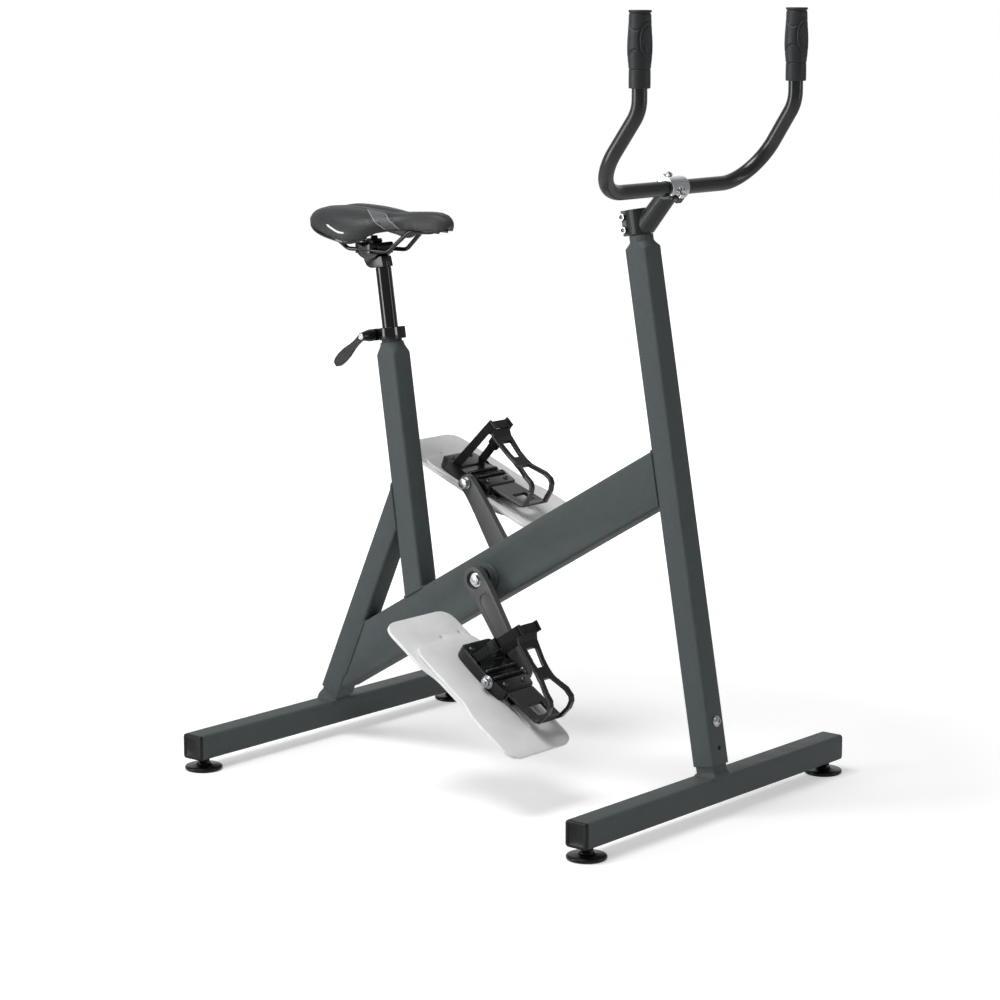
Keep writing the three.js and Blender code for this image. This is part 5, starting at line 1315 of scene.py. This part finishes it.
pad = piece("saddle_cover", "saddle", VINYL, cover_form(96, 1.0), TILT, ("saddle_pad",), 0, 60)
shaped = pad.modifiers.new("remesh", "REMESH")
shaped.mode, shaped.voxel_size = "VOXEL", 4 * MM
baked(pad)
puffed(pad)
for kind, settings in (("SUBSURF", {"levels": 1}), ("SMOOTH", {"factor": 0.5, "iterations": 2})):
    step = pad.modifiers.new("step", kind)
    for key, value in settings.items():
        setattr(step, key, value)
baked(pad)
pad.data.shade_smooth()

# %% [markdown]
# ## Groove and skirt
#
# A shallow groove is pressed along the middle of the cover, and below its seam the vinyl
# is tucked in to a gloss skirt. Both are small changes of a finished surface, so the
# cover's own points are moved by a smooth share of their place. The skirt also writes how
# deep each point lies in it, which colours it.

# %% Groove and tucked skirt


def edge_height(x):
    """How high the cover's lower edge runs, and how deep the skirt under its seam is."""
    along = min(1, max(0, (x - SADDLE_REAR) / SADDLE_LENGTH))
    edge = curve_through(SECTIONS, along)[2] * SADDLE_DEPTH
    depth = 8.5 - 6.5 * smooth_between(0.1, 0.34, along) + 1.5 * smooth_between(0.62, 0.8, along)
    depth -= 9 * smooth_between(0.88, 0.96, along)
    return edge, depth


def tucked_skirt(made):
    """Tucks the skirt in under the cover's seam, and marks it for the finish."""
    mark = made.data.attributes.new("lip", "FLOAT", "POINT")
    for vert, value in zip(made.data.vertices, mark.data):
        x, y, z = TILT.inverted() @ (vert.co / MM)
        edge, depth = edge_height(x)
        value.value = max(-8, min(8, edge + depth - z))
        inward = 1.3 * smooth_between(-0.6, 0.9, edge + depth - z) * smooth_between(1, 4, abs(y))
        out = Vector((0, vert.normal.y, 0))
        vert.co -= out * inward * MM


def pressed_groove(made):
    """Presses the middle groove into the cover."""
    for vert in made.data.vertices:
        x, y, z = TILT.inverted() @ (vert.co / MM)
        along = (x - SADDLE_REAR) / SADDLE_LENGTH
        if z > 30 and 0.04 < along < 0.7:
            ends = smooth_between(0.04, 0.14, along) * (1 - smooth_between(0.52, 0.7, along))
            vert.co.z -= 2.6 * MM * ends * (1 - smooth_between(3, 13, abs(y)))


pressed_groove(pad)
tucked_skirt(pad)
tucked = sum(1 for mark in pad.data.attributes["lip"].data if mark.value > 0)
print(f"skirt: {tucked} points of the cover lie in it")

# %% [markdown]
# ## Seams and cords on the cover
#
# A pale cord runs on each side of the grey band, a white crescent is printed on each
# flank, and low ridges show where the cover is sewn. Drawing them in the material would
# blur them on a mesh this coarse. They are thin cords instead: measured points are pulled
# onto the nearest point of the cover, and a flat round section follows them there.

# %% Measured seam lines
# The two seams that bound the grey band, rear and front, then the side crescent and the
# long seams, as points measured on the cover's right half.
BAND = [[(12, 0, 52), (10.6, -14, 52), (11.1, -27.6, 50.6), (23.4, -37.2, 48.2), (46.8, -51.3, 36),
         (57, -46.8, 27.3), (63.8, -41.1, 20.2)],
        [(34, 0, 50), (38, -14, 49.5), (47.7, -26.8, 47), (64.6, -36.5, 37.8), (73.5, -33.2, 29.1),
         (82.1, -29.5, 20.3)]]
CRESCENT = [(-33.5, -76.2, 28.3), (-18, -78.6, 21.8), (-6.3, -78.1, 17.4), (4.8, -76.9, 16.6)]
SIDE_SEAM = [(-92, -20, 44), (-70, -27, 52), (-33.3, -26.9, 54.1), (3, -24, 51.4), (11.1, -27.6, 50.6)]
LOWER_SEAM = [(-52, -70, 35), (-44.1, -74, 31.8), (-39.3, -76.6, 25), (-12.6, -79.3, 14.1),
              (4, -77.5, 11.5), (13, -75.4, 11.6), (15.7, -74.3, 15.3), (12.4, -74.6, 18.7)]

# %% Lines laid on the cover


def surface_of(made):
    """The piece's mesh as a tree that finds the mesh's nearest point quickly."""
    form = bmesh.new()
    form.from_mesh(made.data)
    tree = BVHTree.FromBMesh(form)
    form.free()
    return tree


def on_cover(tree, x, y, z):
    """The cover's point nearest to a point of the saddle's frame, with its normal."""
    at = TILT @ Vector((x, y, z))
    place, normal, _, _ = tree.find_nearest(at * MM)
    return place / MM, normal


def laid(tree, points, count, side=1):
    """A smooth path through points, laid onto the cover."""
    return [on_cover(tree, x, side * y, z) for x, y, z in smooth_path(points, count)]


def cord(path, width, height, lift):
    """A low cord that follows the cover: its section lies flat on the surface."""
    rings = []
    for i, (place, normal) in enumerate(path):
        along = (path[min(i + 1, len(path) - 1)][0] - path[max(i - 1, 0)][0]).normalized()
        across = normal.cross(along).normalized()
        fade = min(1, i / 3, (len(path) - 1 - i) / 3) * 0.8 + 0.2
        rings.append([place + across * width * fade * a + normal * (height * b + lift)
                      for a, b in disc(0.5, 10)])
    return skinned(rings)


# %% Cords, prints and seams
cover = surface_of(pad)
cords, prints, seams = [], [], []
for side in (-1, 1):
    for line in BAND:
        cords.append(cord(laid(cover, line[2:], 60, side), 0.9, 0.7, 0.1))
    prints.append(cord(laid(cover, CRESCENT, 40, side), 3.0, 0.5, 0.05))
    seams.append(cord(laid(cover, SIDE_SEAM, 60, side), 0.9, 0.6, 0.05))
    seams.append(cord(laid(cover, LOWER_SEAM, 70, side), 1.0, 0.7, 0.0))
    skirt = []
    for i in range(121):
        x = SADDLE_REAR + 1 + i / 120 * (SADDLE_LENGTH - 2)
        edge, depth = edge_height(x)
        half = curve_through(SECTIONS, (x - SADDLE_REAR) / SADDLE_LENGTH)[0] * SADDLE_WIDTH / 2
        skirt.append(on_cover(cover, x, side * half, edge + depth))
    seams.append(cord(skirt, 1.3, 1.1, -0.1))
piece("band_cords", "saddle", STITCH, joined(*cords), None, (), 0, 80)
piece("side_prints", "saddle", PRINT, joined(*prints), None, (), 0, 80)
piece("cover_seams", "saddle", PIPING, joined(*seams), None, (), 0, 80)

# %% [markdown]
# ## Grey band
#
# Between its two cords the cover is a paler vinyl. A separate patch would show a step, so
# each point of the cover stores how far inside the band it lies, and the finish mixes the
# two greys where that distance passes zero. That keeps the edge crisp on a coarse mesh.

# %% Distance into the band
BAND_LINES = [[Vector(place) for place in smooth_path(line, 40)] for line in BAND]


def distance_inside(x, y, z):
    """How far a point lies inside the grey band, in millimetres."""
    here = Vector((x, -abs(y), z))
    rear, front = (min(line, key=lambda point: (point - here).length_squared) for line in BAND_LINES)
    return min(x - rear.x, front.x - x)


tint = pad.data.attributes.new("band", "FLOAT", "POINT")
for vert, value in zip(pad.data.vertices, tint.data):
    x, y, z = TILT.inverted() @ (vert.co / MM)
    near = -6 < x < 96 and abs(y) > 14
    value.value = min(distance_inside(x, y, z), abs(y) - 24) if near else -8
print(f"band: {sum(1 for mark in tint.data if mark.value > 0)} points of the cover lie in it")

# %% [markdown]
# ## Saddle base and rails
#
# The base is a polished moulding whose lip shows as a thin dark line under the cover, and
# the rails are bent steel wire. The lip follows the cover's edge, so a small hooked
# section is carried along the same curves. The rest are copies of their solids.

# %% Base lip and rails
HOOK = ((0, 3.2), (0, 0.6), (1.4, -1.1), (3.4, -1.2), (4.2, 0.4), (4.2, 3.2))


def base_lip():
    """The base's lip: a thin skirt just inside the cover's lower edge."""
    sides = {-1: [], 1: []}
    for i in range(97):
        along = 0.012 + 0.5 * i / 96
        half, _, edge, _ = curve_through(SECTIONS, along)
        width, x = half * SADDLE_WIDTH / 2, SADDLE_REAR + along * SADDLE_LENGTH
        low = edge * SADDLE_DEPTH
        for side, rings in sides.items():
            rings.append([(x, side * (width * 0.965 - 0.4 - inset), low + rise) for inset, rise in HOOK])
    return joined(skinned(sides[1]), skinned(sides[-1]))


piece("base_lip", "saddle", GLOSS, base_lip(), TILT, (), 0, 40)
dressed("saddle_base", PLASTIC, 0.6)
dressed("saddle_rails", RAIL, 0, 50)

# %% [markdown]
# ## Stem
#
# The stem is forged alloy in one piece, with a split clamp closed by two socket bolts. It
# has no sharp edge at all, so its solid is remeshed and softened. The bolts are spun with
# a bright rim round each socket; a black disc in each socket is painted shade for its depth.

# %% Stem and its clamp bolts
moulded("stem", SATIN, 0.65, 6)
STEM = placed(*POST.at(819.8), POST.lean)
socket_shade_discs, rims = [], []
for side in (-1, 1):
    place = STEM @ Matrix.Translation((-21.5, -10, 16.3 + side * 9.8)) @ facing(-1)
    head = turned(fillet([(0, 2.4), (5.4, 2.4), (5.5, 4.6), (5, 5.2), (3.7, 5.25), (3.2, 4.8),
                          (3.2, 2.9), (0, 2.9)], 0.3), 48)
    rims.append(moved(head, place))
    # A black gloss disc on each socket's floor is painted shade: it darkens the socket's inside.
    socket_shade_discs.append(moved(turned([(0, 2.7), (3.15, 2.7), (3.15, 3.4), (0, 3.4)], 24), place))
piece("clamp_bolt_heads", "frame", STEEL, joined(*rims), None, (), 0, 30)
# The discs of painted shade in the sockets.
piece("clamp_bolt_socket_shade", "frame", GLOSS, joined(*socket_shade_discs), None, (), 0, 30)

# %% [markdown]
# ## Faceplate and handlebar
#
# A polished plate with two round bosses holds the bar. The plate and its bosses were one
# casting, so overlapping forms are melted into one skin. The bar is one bent tube, a
# circle carried along a line with four bends, as a pipe bender makes it.

# %% Faceplate
FACE = placed(BAR_X, BAR_Z, math.radians(40))
BOSS = fillet([(2.6, 0.3), (6.9, 0.3), (6.9, 6.4), (6.2, 7.1), (2.6, 7.1), (2.6, 0.3)], 0.5)
bosses = [moved(turned(BOSS, 48), FACE @ Matrix.Translation((side * 17, 0, 0))) for side in (-1, 1)]
plate = melted(joined(copied("stem_faceplate"), *bosses), 0.45, 4)
piece("polished_faceplate", "frame", ALLOY, plate, None, ("stem_faceplate",), 0, 60)
for level in ("upper", "lower"):
    dressed(f"faceplate_bolt_{level}", STEEL, 0.4)

# %% Handlebar
BAR_REACH, BAR_SPREAD = 83.5, 193.7
BAR_CORNERS = [(BAR_REACH, -BAR_SPREAD, 257), (BAR_REACH, -BAR_SPREAD, 121), (0, -200.4, 0),
               (0, 200.4, 0), (BAR_REACH, BAR_SPREAD, 121), (BAR_REACH, BAR_SPREAD, 257)]
bar = swept(bent_line(BAR_CORNERS, (54, 73, 73, 54), math.radians(2)), disc(BAR_RADIUS, 64))
piece("bent_bar", "bars", BAR_PAINT, bar, Matrix.Translation((BAR_X, 0, BAR_Z)), ("handlebar",), 0, 40)

# %% [markdown]
# ## Grips
#
# Each grip is moulded rubber: a collar below, a flange above, wave grooves and a sunk oval
# that faces forward. The grooves are too deep for a bump and too many for Booleans, so the
# grip is a fine skin of rings. Each point's radius comes from the profile, less the depth
# of whichever groove passes there.

# %% Grip radius
GRIP_LENGTH, GRIP_RADIUS, GROOVE = 108, 17.8, 1.4
# Place along and radius, as shares of the grip's sizes.
GRIP_PROFILE = [
    (0, 0.83), (0.012, 0.86), (0.1, 0.868), (0.225, 0.862), (0.238, 0.86), (0.243, 0.825),
    (0.249, 0.825), (0.254, 0.87), (0.3, 0.9), (0.4, 0.965), (0.5, 1.0), (0.62, 0.985),
    (0.75, 0.935), (0.87, 0.895), (0.945, 0.875), (0.955, 0.83), (0.965, 0.83),
    (0.972, 0.905), (0.98, 0.92), (0.992, 0.915), (1, 0.88),
]


def grip_radius(level, angle):
    """The grip's radius at a level (0 to 1) and an angle from straight ahead."""
    radius = curve_through(GRIP_PROFILE, level)[0] * GRIP_RADIUS
    if 0.27 < level < 0.945:
        dip = 0.0
        across = angle * GRIP_RADIUS
        oval = math.hypot(across / 17.5, (level - 0.615) * GRIP_LENGTH / 28)
        for ring, width, depth in ((1.0, 0.08, 1.5), (0.76, 0.07, 1.2)):
            dip = max(dip, depth * (1 - smooth_between(width * 0.5, width * 1.5, abs(oval - ring))))
        inner = math.hypot(across / 8, (level - 0.6) * GRIP_LENGTH / 19)
        dip = max(dip, GROOVE * (1 - smooth_between(0.8, 1.0, inner)))
        if oval > 1.03:
            for middle, height in ((0.44, 0.06), (0.8, -0.055)):
                wave = middle + height * math.cos(2.1 * (abs(angle) - 1.35))
                gap = abs(level - wave) * GRIP_LENGTH
                dip = max(dip, GROOVE * (1 - smooth_between(0.6, 1.8, gap)))
        radius -= dip
    return radius


# %% Grip skin
AROUND, UPWARDS, BORE = 168, 210, 11.2


def grip_form():
    """The grip as rings from its bore's mouth up to its closed top."""
    angles = [(k / AROUND - 0.5) * TAU for k in range(AROUND)]
    rings = [[(BORE * math.cos(angle), BORE * math.sin(angle), 0) for angle in angles]]
    for i in range(UPWARDS + 1):
        level = i / UPWARDS
        reaches = [(grip_radius(level, angle), angle) for angle in angles]
        rings.append([(r * math.cos(angle), r * math.sin(angle), level * GRIP_LENGTH)
                      for r, angle in reaches])
    return skinned(rings)


for hand, sign in SIDES:
    at = Matrix.Translation((BAR_X + BAR_REACH, sign * BAR_SPREAD, BAR_Z + 152.7))
    piece(f"grip_rubber_{hand}", "bars", RUBBER, grip_form(), at, (f"grip_{hand}",), 0, 60)

# %% [markdown]
# ## Floor and light
#
# A pale floor takes the bike's soft shadow and fades to plain white further out. A plain
# floor would darken towards its edge, so it glows by itself, more with the distance. The
# glow and the white backdrop are shown only to rays that come from the camera, from a
# mirror or through something clear. Diffuse rays get a weaker, even room light, so that
# the lamps alone shape the bike.

# %% Which rays show the background


def background_rays(tree):
    """1 for rays that show the background: straight, in a mirror or through something clear."""
    path = add(tree, "LightPath").outputs
    direct = add(tree, "Math", {"operation": "MAXIMUM"},
                 _0=path["Is Camera Ray"], _1=path["Is Glossy Ray"]).outputs[0]
    return add(tree, "Math", {"operation": "MAXIMUM"}, _0=direct, _1=path["Is Transmission Ray"]).outputs[0]


# %% Floor


def floor():
    """The studio floor, which glows white away from the bike."""
    form = bmesh.new()
    bmesh.ops.create_circle(form, cap_ends=True, segments=96, radius=9000)
    made, tree, shader = material("studio_floor", "powder_coat", 0.9, 0, 0)
    wire(tree, shader, Base_Color=(0.8, 0.8, 0.8, 1))
    place = add(tree, "TexCoord").outputs["Object"]
    away = add(tree, "VectorMath", {"operation": "LENGTH"}, _0=place).outputs["Value"]
    fade = add(tree, "MapRange", Value=away, From_Min=0.7, From_Max=2.2, To_Min=0.4, To_Max=1.0).outputs[0]
    near = add(tree, "MapRange", Value=away, From_Min=0.3, From_Max=1.5, To_Min=0.25, To_Max=0.05).outputs[0]
    seen = add(tree, "LightPath").outputs["Is Camera Ray"]
    level = add(tree, "Mix", {"data_type": "FLOAT"}, _0=seen, _2=near, _3=fade).outputs[0]
    shown = add(tree, "Math", {"operation": "MULTIPLY"}, _0=background_rays(tree), _1=level).outputs[0]
    glow = add(tree, "Emission", Color=(1, 1, 1, 1), Strength=shown).outputs[0]
    both = add(tree, "AddShader", _0=shader.outputs[0], _1=glow).outputs[0]
    wire(tree, tree.nodes["Material Output"], Surface=both)
    mesh = bpy.data.meshes.new("studio_floor")
    form.to_mesh(mesh)
    form.free()
    mesh.transform(Matrix.Scale(MM, 4))
    mesh.materials.append(made)
    plane = bpy.data.objects.new("studio_floor", mesh)
    bpy.context.scene.collection.objects.link(plane)


# %% [markdown]
# ## Lamps and room
#
# A broad panel on the rider's right lights the sides of the tubes, a lamp above lights the
# top faces, and a narrow strip draws a bright band along the round metal. The world is
# white behind the bike and darker elsewhere, which keeps black pieces black: what a
# glossy piece shows is its surroundings.

# %% Lamps


def lamp(name, place, aim, size, power, size_y=None):
    """A rectangular lamp that faces a point, and that the camera doesn't see."""
    data = bpy.data.lights.new(name, "AREA")
    data.shape = "RECTANGLE"
    data.size, data.size_y = size, size_y or size
    data.energy = power
    made = bpy.data.objects.new(name, data)
    made.location = place
    made.rotation_euler = (Vector(aim) - Vector(place)).to_track_quat("-Z", "Y").to_euler()
    made.visible_camera = False
    bpy.context.scene.collection.objects.link(made)


# %% Backdrop and room
# The way the camera looks, and how much light the room gives to diffuse rays.
BACKDROP, ROOM_LIGHT = (-0.63, 0.76, -0.15), 0.28


def surround():
    """The world: a plain white backdrop behind the bike in a room that is darker elsewhere."""
    world = bpy.data.worlds.new("surround")
    bpy.context.scene.world = world
    world.use_nodes = True
    tree = world.node_tree
    heading = add(tree, "TexCoord").outputs["Generated"]
    ahead = add(tree, "VectorMath", {"operation": "DOT_PRODUCT"}, _0=heading, _1=BACKDROP).outputs["Value"]
    room = add(tree, "MapRange", Value=ahead, From_Min=0.35, From_Max=0.95,
               To_Min=0.12, To_Max=1.0).outputs[0]
    seen = add(tree, "LightPath").outputs["Is Camera Ray"]
    mirrored = add(tree, "Math", {"operation": "MAXIMUM"}, _0=room, _1=seen).outputs[0]
    shown = add(tree, "Math", {"operation": "MULTIPLY"}, _0=mirrored, _1=background_rays(tree)).outputs[0]
    level = add(tree, "Math", {"operation": "MAXIMUM"}, _0=shown, _1=ROOM_LIGHT).outputs[0]
    wire(tree, tree.nodes["Background"], Color=(1, 1, 1, 1), Strength=level)


# %% The set
floor()
lamp("side_panel", (-1.9, -3.0, 1.0), (0, 0, 0.6), 1.3, 62, 2.4)
lamp("top", (-0.4, -1.2, 3.6), (0, 0, 0.4), 1.6, 76)
lamp("strip", (3.2, 1.4, 1.0), (0, 0, 0.7), 0.35, 12, 2.2)
surround()
scene = bpy.context.scene
scene.view_settings.view_transform = "Standard"
print("lamps:", ", ".join(light.name for light in bpy.data.lights))
